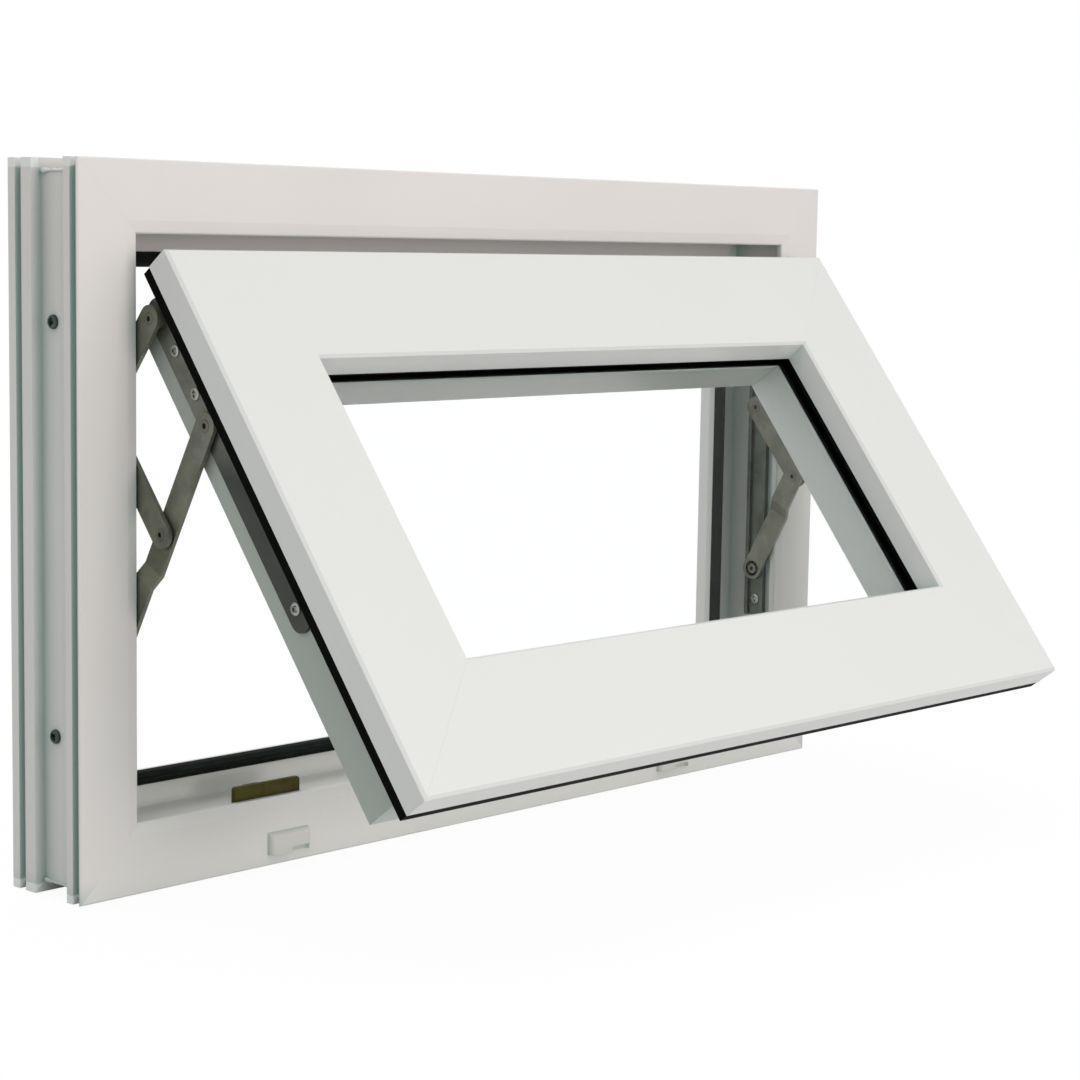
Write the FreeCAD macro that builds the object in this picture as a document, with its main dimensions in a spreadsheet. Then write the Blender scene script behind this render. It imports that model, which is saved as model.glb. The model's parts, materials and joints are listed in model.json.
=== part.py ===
import FreeCAD, Part
import math
import os
import Sketcher

# Top hung awning window, 640 x 400 mm, in white PVC-U, with its sash held open
# by two friction stays. Millimetres, +Z up, the outdoor side faces -Y.
# The origin is on the underside of the sill, at mid width, in the middle of the
# rear seat rib. Depths are measured from the frame's front face towards the room.

# Driving sizes: name, value, meaning
SIZES = [
    # outer frame
    ("frame_width", 640.0, "overall width of the outer frame"),
    ("frame_height", 400.0, "overall height of the outer frame"),
    ("frame_depth", 61.5, "depth of the outer frame profile"),
    ("frame_face", 39.5, "face width of the outer frame seen from outdoors"),
    ("frame_slope_width", 7.0, "sloped band along the inner edge of that face"),
    ("frame_slope_drop", 1.0, "fall of the sloped band"),
    ("frame_lip", 5.0, "depth of the lip in front of the hardware bed"),
    ("bed_height", 36.0, "height of the hardware bed above the outer side"),
    ("upstand_height", 57.0, "height of the rear upstand above the outer side"),
    ("upstand_flat", 5.0, "flat on top of the upstand behind its gasket"),
    ("upstand_back", 51.5, "height of the room side of the upstand"),
    ("front_lip", 1.5, "width of the thin lip at the front of the outer side"),
    ("front_groove", 5.4, "width of the groove behind that lip"),
    ("front_rib", 5.5, "width of the front seat rib"),
    ("rear_rib", 8.9, "width of the rear seat rib"),
    ("rear_groove", 5.6, "width of the groove behind the rear rib"),
    ("back_lip", 6.2, "width of the lip at the back of the outer side"),
    ("groove_depth", 3.5, "depth of the two narrow grooves"),
    ("channel_depth", 6.5, "depth of the wide channel between the ribs"),
    ("profile_wall", 2.5, "wall of the hollow profiles"),
    ("frame_bevel", 0.8, "bevel on the frame's front corners"),
    # seals
    ("seal_groove", 3.0, "width and depth of every gasket groove"),
    ("frame_seal_drop", 2.6, "from the top of the upstand to its gasket groove"),
    ("seal_play", 0.1, "play of a gasket foot in its groove"),
    ("seal_lip", 1.6, "thickness of the gaskets' lips"),
    ("seal_nose", 2.6, "rounded nose of a gasket lip"),
    ("seal_bevel", 0.6, "bevels on that nose"),
    ("frame_seal_rise", 0.8, "from the top of the upstand to the top of the frame gasket"),
    ("frame_seal_height", 8.6, "height of the frame gasket"),
    ("frame_seal_gap", 6.0, "gap that the frame gasket fills when the sash is shut"),
    ("frame_seal_free", 7.0, "reach of the frame gasket when nothing presses it"),
    ("sash_seal_gap", 3.0, "gap that the sash gasket fills when the sash is shut"),
    ("sash_seal_width", 6.0, "width of the sash gasket"),
    ("sash_seal_free", 7.2, "height of the sash gasket when nothing presses it"),
    ("seal_margin", 0.3, "from the sash edge to its gasket"),
    # sash
    ("sash_inset", 35.0, "from the frame's outer edge to the sash edge"),
    ("sash_depth", 58.0, "depth of the sash profile"),
    ("sash_face", 71.5, "face width of the sash profile"),
    ("flange_thickness", 17.0, "thickness of the flange that laps the frame"),
    ("stay_stack", 13.0, "gap between the hardware bed and the sash body"),
    ("nose_thickness", 16.0, "outer wall of the glazing rebate"),
    ("rebate_depth", 20.5, "depth of the glazing rebate"),
    ("rebate_fall", 1.2, "fall of the rebate's edge towards the glass"),
    ("sash_bevel", 1.6, "bevel along the sash face edges"),
    # glazing
    ("glass_thickness", 5.0, "thickness of the glass"),
    ("glass_gap", 4.0, "gap around the glass in its rebate"),
    ("outer_glazing_seal", 4.0, "gasket between the rebate nose and the glass"),
    ("inner_glazing_seal", 3.0, "gasket between the glass and the beads"),
    ("glazing_seal_width", 8.0, "width of the glazing gaskets"),
    ("bead_slope", 3.5, "fall of the bead towards the room"),
    ("bead_bevel", 2.0, "bevel at the room side of the beads, half of it at the glass"),
    ("bead_clearance", 0.3, "gap between the bead and the rebate floor"),
    # opening
    ("opening_angle", 37.3, "degrees that the sash stands open"),
    # friction stays
    ("stay_axis_depth", 19.0, "depth of the pivots' line in the frame"),
    ("arm_lower", 77.5, "long arm, fixed pivot to elbow"),
    ("arm_upper", 68.5, "long arm, elbow to sash bar"),
    ("link_length", 59.0, "link, elbow to slider"),
    ("slider_spacing", 34.0, "between the two pivots on the slider"),
    ("top_arm_length", 44.5, "top arm, slider to sash bar"),
    ("top_pivot_drop", 18.0, "from the sash top edge to the bar's top pivot"),
    ("bar_top", 12.0, "sash bar above its top pivot"),
    ("bar_length", 207.5, "length of the sash bar"),
    ("bar_width", 15.5, "width of the sash bar"),
    ("arm_width", 15.0, "width of the arms"),
    ("arm_thickness", 2.5, "thickness of the arms"),
    ("arm_play", 0.2, "gap between layers of the stay"),
    ("track_below", 33.5, "track below its fixed pivot"),
    ("track_top_gap", 34.0, "from the head's hardware bed down to the track"),
    ("track_width", 16.0, "width of the track"),
    ("track_height", 3.7, "height of the track's side lips"),
    ("track_wall", 1.5, "sheet of the track"),
    ("track_lip", 1.2, "lips of the track over its slider"),
    ("rivet_radius", 3.0, "rivets of the stay"),
    ("rivet_collar", 5.5, "collars between layers that stand apart"),
    ("rivet_play", 0.05, "radial play of the rivets"),
    ("screw_head", 3.6, "heads of the stay screws"),
    ("screw_head_height", 1.0, "height of the screw heads"),
    ("bar_screw_first", 21.0, "from the top pivot to the first bar screw"),
    ("bar_screw_second", 48.8, "from the top pivot to the second bar screw"),
    ("bar_end_screw", 13.4, "from the bar's lower end to its last screw"),
    ("track_end_screw", 11.5, "from the track's ends to their screws"),
    ("joggle_start", 47.0, "from the fixed pivot to the joggle of the long arm"),
    ("joggle_length", 8.0, "length of that joggle"),
    ("joggle_rise", 4.0, "step of that joggle towards the sash"),
    ("lip_clearance", 0.3, "gap between the long arm and the frame's lip"),
    # locking
    ("keep_offset", 136.5, "from the frame's side to the middle of a keep"),
    ("keep_length", 49.0, "length of a keep's front wall"),
    ("keep_height", 11.8, "height of a keep's front wall above the bed"),
    ("keep_depth", 12.0, "depth of a keep"),
    ("keep_base_inset", 11.5, "from the ends of the front wall to the base plate"),
    ("keep_wall", 3.0, "front wall of a keep"),
    ("keep_base", 2.0, "base plate of a keep"),
    ("keep_bevel", 1.2, "bevel at the top ends of the front wall"),
    ("keep_hook_length", 11.0, "length of a keep's hook"),
    ("keep_hook_height", 9.8, "height of that hook above the bed"),
    ("keep_hook_end", 14.5, "from the keep's outer end to its hook"),
    ("keep_hook_gap", 5.0, "from the front wall back to the hook"),
    ("keep_play", 0.4, "gap between the frame's lip and a keep"),
    ("lock_width", 16.0, "width of the locking strip"),
    ("lock_thickness", 2.5, "thickness of the locking strip"),
    ("lock_end_gap", 70.0, "from the sash edge to the end of the locking strip"),
    ("cam_radius", 4.0, "locking cams"),
    ("cam_height", 3.5, "height of the locking cams"),
    ("cam_play", 0.3, "gap between a keep's hook and the locked cam"),
    # handle
    ("handle_height", 36.8, "handle axis above the sash's bottom edge"),
    ("rose_length", 64.0, "length of the handle's rose"),
    ("rose_width", 25.0, "width of the handle's rose"),
    ("rose_thickness", 9.0, "thickness of the handle's rose"),
    ("neck_radius", 7.0, "neck of the handle"),
    ("neck_length", 14.0, "length of the neck"),
    ("lever_length", 112.0, "length of the lever"),
    ("lever_width", 15.0, "width of the lever"),
    ("lever_thickness", 9.0, "thickness of the lever"),
    ("handle_bevel", 2.5, "bevelled edges of the handle"),
    # drain caps and jamb screws
    ("cap_offset", 147.5, "from the frame's side to the middle of a drain cap"),
    ("cap_length", 31.0, "length of a drain cap"),
    ("cap_bottom", 6.5, "underside of a drain cap above the frame's underside"),
    ("cap_height", 13.0, "height of a drain cap"),
    ("cap_reach", 4.2, "how far a drain cap stands proud"),
    ("cap_round", 2.6, "rounding of a drain cap's corners"),
    ("cap_wall", 1.4, "wall of a drain cap"),
    ("jamb_screw_low", 88.0, "height of the lower screw in the jamb channel"),
    ("jamb_screw_high", 313.0, "height of the upper screw in the jamb channel"),
    ("jamb_screw_offset", 3.4, "from the middle of that channel to those screws"),
    ("jamb_screw_radius", 3.9, "heads of those screws"),
    ("jamb_screw_head", 2.2, "height of those heads"),
]

# how far cuts reach past what they cut
MITRE_MARGIN = 5.0
SHEET = "Sizes"
ZERO = 0.0
# two heights count as one below this distance
SAME = 1e-6

doc = FreeCAD.newDocument("awning_window")
sheet = doc.addObject("Spreadsheet::Sheet", SHEET)
for row, (alias, number, meaning) in enumerate(SIZES, start=1):
    sheet.set("A%d" % row, meaning)
    sheet.set("B%d" % row, str(number))
    sheet.setAlias("B%d" % row, alias)
doc.recompute()


class Size:
    """A length that knows its number and its expression over the sheet."""

    def __init__(self, number, text):
        self.number = float(number)
        self.text = text

    @staticmethod
    def of(value):
        return value if isinstance(value, Size) else Size(value, repr(float(value)))

    def __add__(self, other):
        other = Size.of(other)
        return Size(self.number + other.number, "(%s + %s)" % (self.text, other.text))

    def __sub__(self, other):
        other = Size.of(other)
        return Size(self.number - other.number, "(%s - %s)" % (self.text, other.text))

    def __mul__(self, other):
        other = Size.of(other)
        return Size(self.number * other.number, "(%s * %s)" % (self.text, other.text))

    def __truediv__(self, other):
        other = Size.of(other)
        return Size(self.number / other.number, "(%s / %s)" % (self.text, other.text))

    def __neg__(self):
        return Size(-self.number, "(0 - %s)" % self.text)

    __radd__ = __add__
    __rmul__ = __mul__

    def __rsub__(self, other):
        return Size.of(other) - self

    def __float__(self):
        return self.number


def size(alias):
    return Size(sheet.get(alias), "%s.%s" % (SHEET, alias))


# Sketches and bodies

def origin_plane(body, role):
    for feature in body.Origin.OriginFeatures:
        if feature.Role == role:
            return feature
    raise ValueError("no plane " + role)


def new_body(label):
    body = doc.addObject("PartDesign::Body", label)
    body.Label = label
    return body


def new_sketch(body, role):
    sketch = body.newObject("Sketcher::SketchObject", body.Name + "_sketch")
    sketch.AttachmentSupport = [(origin_plane(body, role), "")]
    sketch.MapMode = "FlatFace"
    return sketch


def fix_point(sketch, geometry, end, x, y):
    """Hold one end of a piece of geometry at the sizes x and y from the sketch's origin."""
    for kind, axis, value in (("DistanceX", -2, x), ("DistanceY", -1, y)):
        value = Size.of(value)
        if value.text == repr(ZERO):
            sketch.addConstraint(Sketcher.Constraint("PointOnObject", geometry, end, axis))
            continue
        place = Sketcher.Constraint(kind, -1, 1, geometry, end, value.number)
        index = sketch.addConstraint(place)
        sketch.setExpression("Constraints[%d]" % index, value.text)


def add_polygon(sketch, points):
    """Closed outline of straight lines through pairs of sizes."""
    first = sketch.GeometryCount
    ends = [FreeCAD.Vector(float(x), float(y), 0) for x, y in points]
    count = len(ends)
    lines = [Part.LineSegment(ends[i], ends[(i + 1) % count]) for i in range(count)]
    sketch.addGeometry(lines, False)
    joins = []
    for i in range(count):
        joins.append(Sketcher.Constraint("Coincident", first + i, 2, first + (i + 1) % count, 1))
    sketch.addConstraint(joins)
    for i, (x, y) in enumerate(points):
        fix_point(sketch, first + i, 1, x, y)


def add_circle(sketch, x, y, radius):
    centre = FreeCAD.Vector(float(x), float(y), 0)
    circle = sketch.addGeometry(Part.Circle(centre, FreeCAD.Vector(0, 0, 1), float(radius)), False)
    fix_point(sketch, circle, 3, x, y)
    index = sketch.addConstraint(Sketcher.Constraint("Radius", circle, float(radius)))
    sketch.setExpression("Constraints[%d]" % index, Size.of(radius).text)


def add_slot(sketch, start, end, width):
    """Outline of a bar with round ends, from start to end along the sketch's x."""
    radius = Size.of(width) / 2
    r = float(radius)
    x0, x1 = float(start), float(end)
    first = sketch.GeometryCount
    up = FreeCAD.Vector(0, 0, 1)
    quarter = math.pi / 2
    left = Part.ArcOfCircle(Part.Circle(FreeCAD.Vector(x0, 0, 0), up, r), quarter, 3 * quarter)
    low = Part.LineSegment(FreeCAD.Vector(x0, -r, 0), FreeCAD.Vector(x1, -r, 0))
    right = Part.ArcOfCircle(Part.Circle(FreeCAD.Vector(x1, 0, 0), up, r), -quarter, quarter)
    high = Part.LineSegment(FreeCAD.Vector(x1, r, 0), FreeCAD.Vector(x0, r, 0))
    sketch.addGeometry([left, low, right, high], False)
    sketch.addConstraint([
        Sketcher.Constraint("Tangent", first, 2, first + 1, 1),
        Sketcher.Constraint("Tangent", first + 1, 2, first + 2, 1),
        Sketcher.Constraint("Tangent", first + 2, 2, first + 3, 1),
        Sketcher.Constraint("Tangent", first + 3, 2, first, 1),
        Sketcher.Constraint("Equal", first, first + 2),
    ])
    fix_point(sketch, first, 3, start, ZERO)
    fix_point(sketch, first + 2, 3, end, ZERO)
    index = sketch.addConstraint(Sketcher.Constraint("Radius", first, r))
    sketch.setExpression("Constraints[%d]" % index, radius.text)


def pad(body, sketch, length, symmetric=False):
    feature = body.newObject("PartDesign::Pad", body.Name + "_pad")
    feature.Profile = sketch
    feature.Length = float(length)
    feature.setExpression("Length", Size.of(length).text)
    feature.SideType = "Symmetric" if symmetric else "One side"
    body.Tip = feature
    return feature


def cut_through(body, sketch):
    feature = body.newObject("PartDesign::Pocket", body.Name + "_cut")
    feature.Profile = sketch
    feature.Type = "ThroughAll"
    feature.SideType = "Symmetric"
    body.Tip = feature
    return feature


def mitred_bar(label, outline, chambers, length, height):
    """Extrusion along X with both ends cut at 45 degrees.

    The outline lies in the YZ plane: y is the depth, z the height from the outer side.
    """
    body = new_body(label)
    section = new_sketch(body, "YZ_Plane")
    add_polygon(section, outline)
    for chamber in chambers:
        add_polygon(section, chamber)
    pad(body, section, length, symmetric=True)
    ends = new_sketch(body, "XZ_Plane")
    half = length / 2
    low = -MITRE_MARGIN
    high = height + MITRE_MARGIN
    out = half + MITRE_MARGIN
    tip = half - height - MITRE_MARGIN
    add_polygon(ends, [(out, low), (out, high), (tip, high)])
    add_polygon(ends, [(-out, low), (-tip, high), (-out, high)])
    cut_through(body, ends)
    return body


def rectangle(x0, y0, x1, y1):
    return [(x0, y0), (x1, y0), (x1, y1), (x0, y1)]


# Named sizes that several pieces share

frame_width = size("frame_width")
frame_height = size("frame_height")
frame_depth = size("frame_depth")
wall = size("profile_wall")
standoff = size("flange_thickness") + size("sash_seal_gap")
upstand_front = size("sash_depth") - standoff + size("frame_seal_gap")
frame_seal_top = size("upstand_height") + size("frame_seal_rise")
sash_width = frame_width - size("sash_inset") * 2
sash_height = frame_height - size("sash_inset") * 2
body_inset = size("bed_height") + size("stay_stack") - size("sash_inset")
rebate_floor = size("sash_face") - size("rebate_depth")
sash_reach = size("sash_face") + size("rebate_fall")
glass_front = size("nose_thickness") + size("outer_glazing_seal")
glass_back = glass_front + size("glass_thickness")
bead_front = glass_back + size("inner_glazing_seal")
rear_rib_start = frame_depth - size("back_lip") - size("rear_groove") - size("rear_rib")
seat_depth = rear_rib_start + size("rear_rib") / 2
channel_start = size("front_lip") + size("front_groove") + size("front_rib")
channel_middle = (channel_start + rear_rib_start) / 2

# y of the frame's front face in the row's frame
FRONT = -float(seat_depth)


# Where the four bars of a rectangle stand

def turn(axis, degrees):
    return FreeCAD.Rotation(FreeCAD.Vector(*axis), degrees)


def around(width, height):
    """Placements of the bottom, top, left and right bars of a rectangle.

    Its lower edge lies at z = 0 and its middle at x = 0.
    """
    w, h = float(width), float(height)
    y_axis = (0, 1, 0)
    return {
        "bottom": FreeCAD.Placement(FreeCAD.Vector(0, 0, 0), turn(y_axis, 0)),
        "top": FreeCAD.Placement(FreeCAD.Vector(0, 0, h), turn(y_axis, 180)),
        "left": FreeCAD.Placement(FreeCAD.Vector(-w / 2, 0, h / 2), turn(y_axis, 90)),
        "right": FreeCAD.Placement(FreeCAD.Vector(w / 2, 0, h / 2), turn(y_axis, -90)),
    }


frame_place = FreeCAD.Placement(FreeCAD.Vector(0, FRONT, 0), turn((0, 1, 0), 0))


# The friction stay: which way each link points for the stated opening angle

def meet(centre_a, radius_a, centre_b, radius_b):
    """Upper point at radius_a from centre_a and radius_b from centre_b."""
    dy = centre_b[0] - centre_a[0]
    dz = centre_b[1] - centre_a[1]
    apart = math.hypot(dy, dz)
    along = (radius_a ** 2 - radius_b ** 2 + apart ** 2) / (2 * apart)
    aside = math.sqrt(max(radius_a ** 2 - along ** 2, 0.0))
    foot = (centre_a[0] + along * dy / apart, centre_a[1] + along * dz / apart)
    one = (foot[0] - aside * dz / apart, foot[1] + aside * dy / apart)
    two = (foot[0] + aside * dz / apart, foot[1] - aside * dy / apart)
    return one if one[1] > two[1] else two


bar_spacing = (size("link_length") + size("slider_spacing") + size("top_arm_length")
               - size("arm_upper"))
fixed_pivot_height = (frame_height - size("sash_inset") - size("top_pivot_drop")
                      - size("top_arm_length") - size("slider_spacing")
                      - size("link_length") - size("arm_lower"))


def stay_at(arm_angle):
    """Pivots of the stay, as (depth, height), for an angle of the long arm off the jamb."""
    depth = float(size("stay_axis_depth"))
    fixed = (depth, float(fixed_pivot_height))
    lower = float(size("arm_lower"))
    whole = lower + float(size("arm_upper"))
    out, up = math.sin(arm_angle), math.cos(arm_angle)
    elbow = (fixed[0] - lower * out, fixed[1] + lower * up)
    middle = (fixed[0] - whole * out, fixed[1] + whole * up)
    rise = math.sqrt(max(float(size("link_length")) ** 2 - (elbow[0] - depth) ** 2, 0.0))
    slider_low = (depth, elbow[1] + rise)
    slider_high = (depth, slider_low[1] + float(size("slider_spacing")))
    top = meet(slider_high, float(size("top_arm_length")), middle, float(bar_spacing))
    opening = math.atan2(top[0] - middle[0], top[1] - middle[1])
    return {"fixed": fixed, "elbow": elbow, "middle": middle, "slider_low": slider_low,
            "slider_high": slider_high, "top": top, "opening": opening}


def solve_stay(opening):
    """Halve the range of the long arm's angle until the sash stands at the stated angle."""
    low, high = 1e-6, math.radians(45)
    for _ in range(60):
        middle = (low + high) / 2
        if stay_at(middle)["opening"] < opening:
            low = middle
        else:
            high = middle
    return stay_at((low + high) / 2)


stay = solve_stay(math.radians(float(size("opening_angle"))))
angle = stay["opening"]

# The sash hangs from the bar's top pivot
bar_depth = size("stay_axis_depth") + standoff
sash_down = (-math.sin(angle), -math.cos(angle))
sash_in = (math.cos(angle), -math.sin(angle))
hang = float(size("top_pivot_drop"))
top_edge = (stay["top"][0] - hang * sash_down[0] - float(bar_depth) * sash_in[0],
            stay["top"][1] - hang * sash_down[1] - float(bar_depth) * sash_in[1])
sash_tilt = turn((1, 0, 0), -math.degrees(angle))
sash_top_place = FreeCAD.Placement(FreeCAD.Vector(0, FRONT + top_edge[0], top_edge[1]), sash_tilt)
# local z = 0 at the sash's lower edge
sash_place = sash_top_place.multiply(
    FreeCAD.Placement(FreeCAD.Vector(0, 0, -float(sash_height)), turn((0, 1, 0), 0)))

PARTS = []


def keep_part(label, shape_object, placement):
    shape_object.Label = label
    shape_object.Placement = placement
    PARTS.append(shape_object)
    return shape_object


# Outer frame

def frame_outline():
    depth = frame_depth
    ground = ZERO
    groove = size("groove_depth")
    bevel = size("frame_bevel")
    drop = size("frame_slope_drop")
    lip_end = size("front_lip")
    rib_start = lip_end + size("front_groove")
    rib_end = rib_start + size("front_rib")
    back_rib_start = rear_rib_start
    back_rib_end = rear_rib_start + size("rear_rib")
    back_lip_start = depth - size("back_lip")
    top = size("upstand_height")
    seal_top = top - size("frame_seal_drop")
    seal_bottom = seal_top - size("seal_groove")
    seal_back = upstand_front + size("seal_groove")
    return [
        (bevel, ground), (lip_end, ground), (lip_end, groove), (rib_start, groove),
        (rib_start, ground), (rib_end, ground), (rib_end, size("channel_depth")),
        (back_rib_start, size("channel_depth")), (back_rib_start, ground),
        (back_rib_end, ground), (back_rib_end, groove), (back_lip_start, groove),
        (back_lip_start, ground), (depth, ground), (depth, size("upstand_back")),
        (upstand_front + size("upstand_flat"), top), (upstand_front, top),
        (upstand_front, seal_top), (seal_back, seal_top), (seal_back, seal_bottom),
        (upstand_front, seal_bottom), (upstand_front, size("bed_height")),
        (size("frame_lip"), size("bed_height")), (size("frame_lip"), size("frame_face")),
        (drop + bevel, size("frame_face")), (drop, size("frame_face") - bevel),
        (ZERO, size("frame_face") - size("frame_slope_width")), (ZERO, bevel),
    ]


def frame_chambers():
    """Front drainage chamber, main chamber and the chamber in the upstand."""
    floor_front = size("groove_depth") + wall
    floor_main = size("channel_depth") + wall
    roof = size("bed_height") - wall
    front_end = size("front_lip") + size("front_groove") + wall / 2
    main_start = front_end + wall
    main_end = upstand_front - wall
    rear_start = upstand_front + size("seal_groove") + wall
    rear_end = frame_depth - wall
    return [
        rectangle(wall, floor_front, front_end, roof),
        rectangle(main_start, floor_main, main_end, roof),
        rectangle(rear_start, floor_main, rear_end, size("upstand_back") - wall * 2),
    ]


FRAME_NAMES = {"top": "frame_head", "bottom": "frame_sill",
               "left": "frame_jamb_left", "right": "frame_jamb_right"}
for side, place in around(frame_width, frame_height).items():
    run = frame_width if side in ("top", "bottom") else frame_height
    bar = mitred_bar(FRAME_NAMES[side], frame_outline(), frame_chambers(), run,
                     size("upstand_height"))
    keep_part(FRAME_NAMES[side], bar, frame_place.multiply(place))


# Gaskets: four mitred lengths joined into one ring

def ring(label, outline, width, height, reach, placement):
    lengths = []
    for side, place in around(width, height).items():
        run = width if side in ("top", "bottom") else height
        piece = mitred_bar("%s_%s" % (label, side), outline, [], run, reach)
        piece.Placement = place
        lengths.append(piece)
    joined = doc.addObject("Part::MultiFuse", label)
    joined.Shapes = lengths
    joined.Refine = True
    return keep_part(label, joined, placement)


def frame_seal_outline():
    """Foot in the upstand's groove and a lip that leans towards the sash."""
    top = size("upstand_height") - size("frame_seal_drop")
    bottom = top - size("seal_groove")
    play = size("seal_play")
    bevel = size("seal_bevel")
    lip = size("seal_lip")
    foot = upstand_front + size("seal_groove") - play
    face = upstand_front - play
    low = frame_seal_top - size("frame_seal_height")
    nose = upstand_front - size("frame_seal_free")
    nose_top = frame_seal_top - size("seal_nose")
    return [
        (foot, bottom + play), (foot, top - play), (face, top - play), (face, frame_seal_top),
        (nose + size("seal_nose"), frame_seal_top - bevel), (nose, nose_top),
        (nose + bevel, nose_top - lip), (face - lip, low + lip), (face - lip, low),
        (face, low), (face, bottom + play),
    ]


ring("frame_gasket", frame_seal_outline(), frame_width, frame_height, frame_seal_top,
     frame_place)


# Sash

def sash_outline():
    depth = size("sash_depth")
    flange = size("flange_thickness")
    bevel = size("sash_bevel")
    face = size("sash_face")
    nose = size("nose_thickness")
    return [
        (ZERO, bevel), (bevel, ZERO), (flange, ZERO),
        (flange, body_inset), (depth, body_inset), (depth, rebate_floor),
        (nose, rebate_floor), (nose, sash_reach), (bevel, face), (ZERO, face - bevel),
    ]


def sash_chambers():
    """Main chamber, the small chamber behind the bead and the one in the flange."""
    depth = size("sash_depth")
    nose = size("nose_thickness")
    flange = size("flange_thickness")
    split = flange + wall
    return [
        rectangle(split, body_inset + wall, depth - wall, rebate_floor - wall),
        rectangle(wall, wall * 2, flange - wall, body_inset),
        rectangle(wall, body_inset + wall, flange, rebate_floor - wall),
        rectangle(wall, rebate_floor, nose - wall, size("sash_face") - wall * 2),
    ]


SASH_NAMES = {"top": "sash_top_rail", "bottom": "sash_bottom_rail",
              "left": "sash_stile_left", "right": "sash_stile_right"}
for side, place in around(sash_width, sash_height).items():
    run = sash_width if side in ("top", "bottom") else sash_height
    bar = mitred_bar(SASH_NAMES[side], sash_outline(), sash_chambers(), run, sash_reach)
    keep_part(SASH_NAMES[side], bar, sash_place.multiply(place))


def sash_seal_outline():
    """Bulb that stands behind the flange, pressed on the frame's face when shut."""
    start = size("flange_thickness")
    free = start + size("sash_seal_free")
    low = size("seal_margin")
    high = low + size("sash_seal_width")
    lip = size("seal_lip")
    return [
        (start, low), (free - size("seal_bevel") * 2, low), (free, low + lip),
        (free, high - size("seal_nose")), (free - lip, high - size("seal_bevel") * 2),
        (start, high),
    ]


ring("sash_gasket", sash_seal_outline(), sash_width, sash_height,
     size("seal_margin") + size("sash_seal_width"), sash_place)


# Glazing

glass_edge = rebate_floor + size("glass_gap")
glass = doc.addObject("Part::Box", "glass_pane")
glass_width = sash_width - glass_edge * 2
glass_height = sash_height - glass_edge * 2
glass.setExpression("Length", glass_width.text)
glass.setExpression("Width", size("glass_thickness").text)
glass.setExpression("Height", glass_height.text)
glass_corner = FreeCAD.Vector(-float(glass_width) / 2, float(glass_front), float(glass_edge))
keep_part("glass_pane", glass,
          sash_place.multiply(FreeCAD.Placement(glass_corner, turn((0, 1, 0), 0))))


def glazing_seal_outline(front, back):
    top = size("sash_face")
    low = top - size("glazing_seal_width")
    bevel = size("seal_bevel")
    return [(front, low), (back, low), (back, top - bevel), (front + bevel, top + bevel / 2),
            (front, top - bevel)]


ring("glazing_gasket_outer", glazing_seal_outline(size("nose_thickness"), glass_front),
     sash_width, sash_height, sash_reach, sash_place)
ring("glazing_gasket_inner", glazing_seal_outline(glass_back, bead_front),
     sash_width, sash_height, sash_reach, sash_place)


def bead_outline():
    """Hollow bead clipped on the rebate floor, falling towards the room."""
    floor = rebate_floor + size("bead_clearance")
    back = size("sash_depth")
    top = size("sash_face")
    low = top - size("bead_slope")
    bevel = size("bead_bevel")
    return [
        (bead_front, floor), (back, floor), (back, low - bevel), (back - bevel, low),
        (bead_front + bevel / 2, top), (bead_front, top - bevel / 2),
    ]


def bead_chamber():
    floor = rebate_floor + size("bead_clearance") + wall / 2
    top = size("sash_face") - size("bead_slope") - wall
    return rectangle(bead_front + wall, floor, size("sash_depth") - wall, top)


BEAD_NAMES = {"top": "glazing_bead_top", "bottom": "glazing_bead_bottom",
              "left": "glazing_bead_left", "right": "glazing_bead_right"}
for side, place in around(sash_width, sash_height).items():
    run = sash_width if side in ("top", "bottom") else sash_height
    bar = mitred_bar(BEAD_NAMES[side], bead_outline(), [bead_chamber()], run,
                     size("sash_face"))
    keep_part(BEAD_NAMES[side], bar, sash_place.multiply(place))


# Friction stays. Layers are measured from the hardware bed towards the sash.

track_floor = size("track_wall")
slider_face = track_floor + size("arm_play") / 2
slider_back = size("track_height") - size("track_lip")
low_face = size("frame_face") - size("bed_height") + size("lip_clearance")
link_face = size("track_height") + size("arm_play")
arm_face = low_face + size("joggle_rise")
arm_back = arm_face + size("arm_thickness")
bar_face = arm_back + size("screw_head_height") + size("arm_play")
bar_back = size("stay_stack")
whole_arm = size("arm_lower") + size("arm_upper")
rivet_hole = size("rivet_radius") + size("rivet_play")
track_length = (frame_height - size("bed_height") - size("track_top_gap")
                - fixed_pivot_height + size("track_below"))


def side_frame(side, pivot, towards, layer):
    """Placement with local x along a link and local z from the jamb towards the sash."""
    sign = 1.0 if side == "left" else -1.0
    x = sign * (-float(frame_width) / 2 + float(size("bed_height")) + float(layer))
    z_axis = FreeCAD.Vector(sign, 0, 0)
    x_axis = FreeCAD.Vector(0, towards[0] - pivot[0], towards[1] - pivot[1]).normalize()
    y_axis = z_axis.cross(x_axis)
    spin = FreeCAD.Rotation(x_axis, y_axis, z_axis, "ZXY")
    return FreeCAD.Placement(FreeCAD.Vector(x, FRONT + pivot[0], pivot[1]), spin)


def upright(side, pivot, layer):
    return side_frame(side, pivot, (pivot[0], pivot[1] + 1.0), layer)


def placed(piece, placement):
    piece.Placement = placement
    return piece


def link_plate(label, start, end, width, thickness, holes):
    """Flat bar with round ends and rivet holes, lying along local x."""
    body = new_body(label)
    outline = new_sketch(body, "XY_Plane")
    add_slot(outline, start, end, width)
    for place, radius in holes:
        add_circle(outline, place, ZERO, radius)
    pad(body, outline, thickness)
    return body


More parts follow.
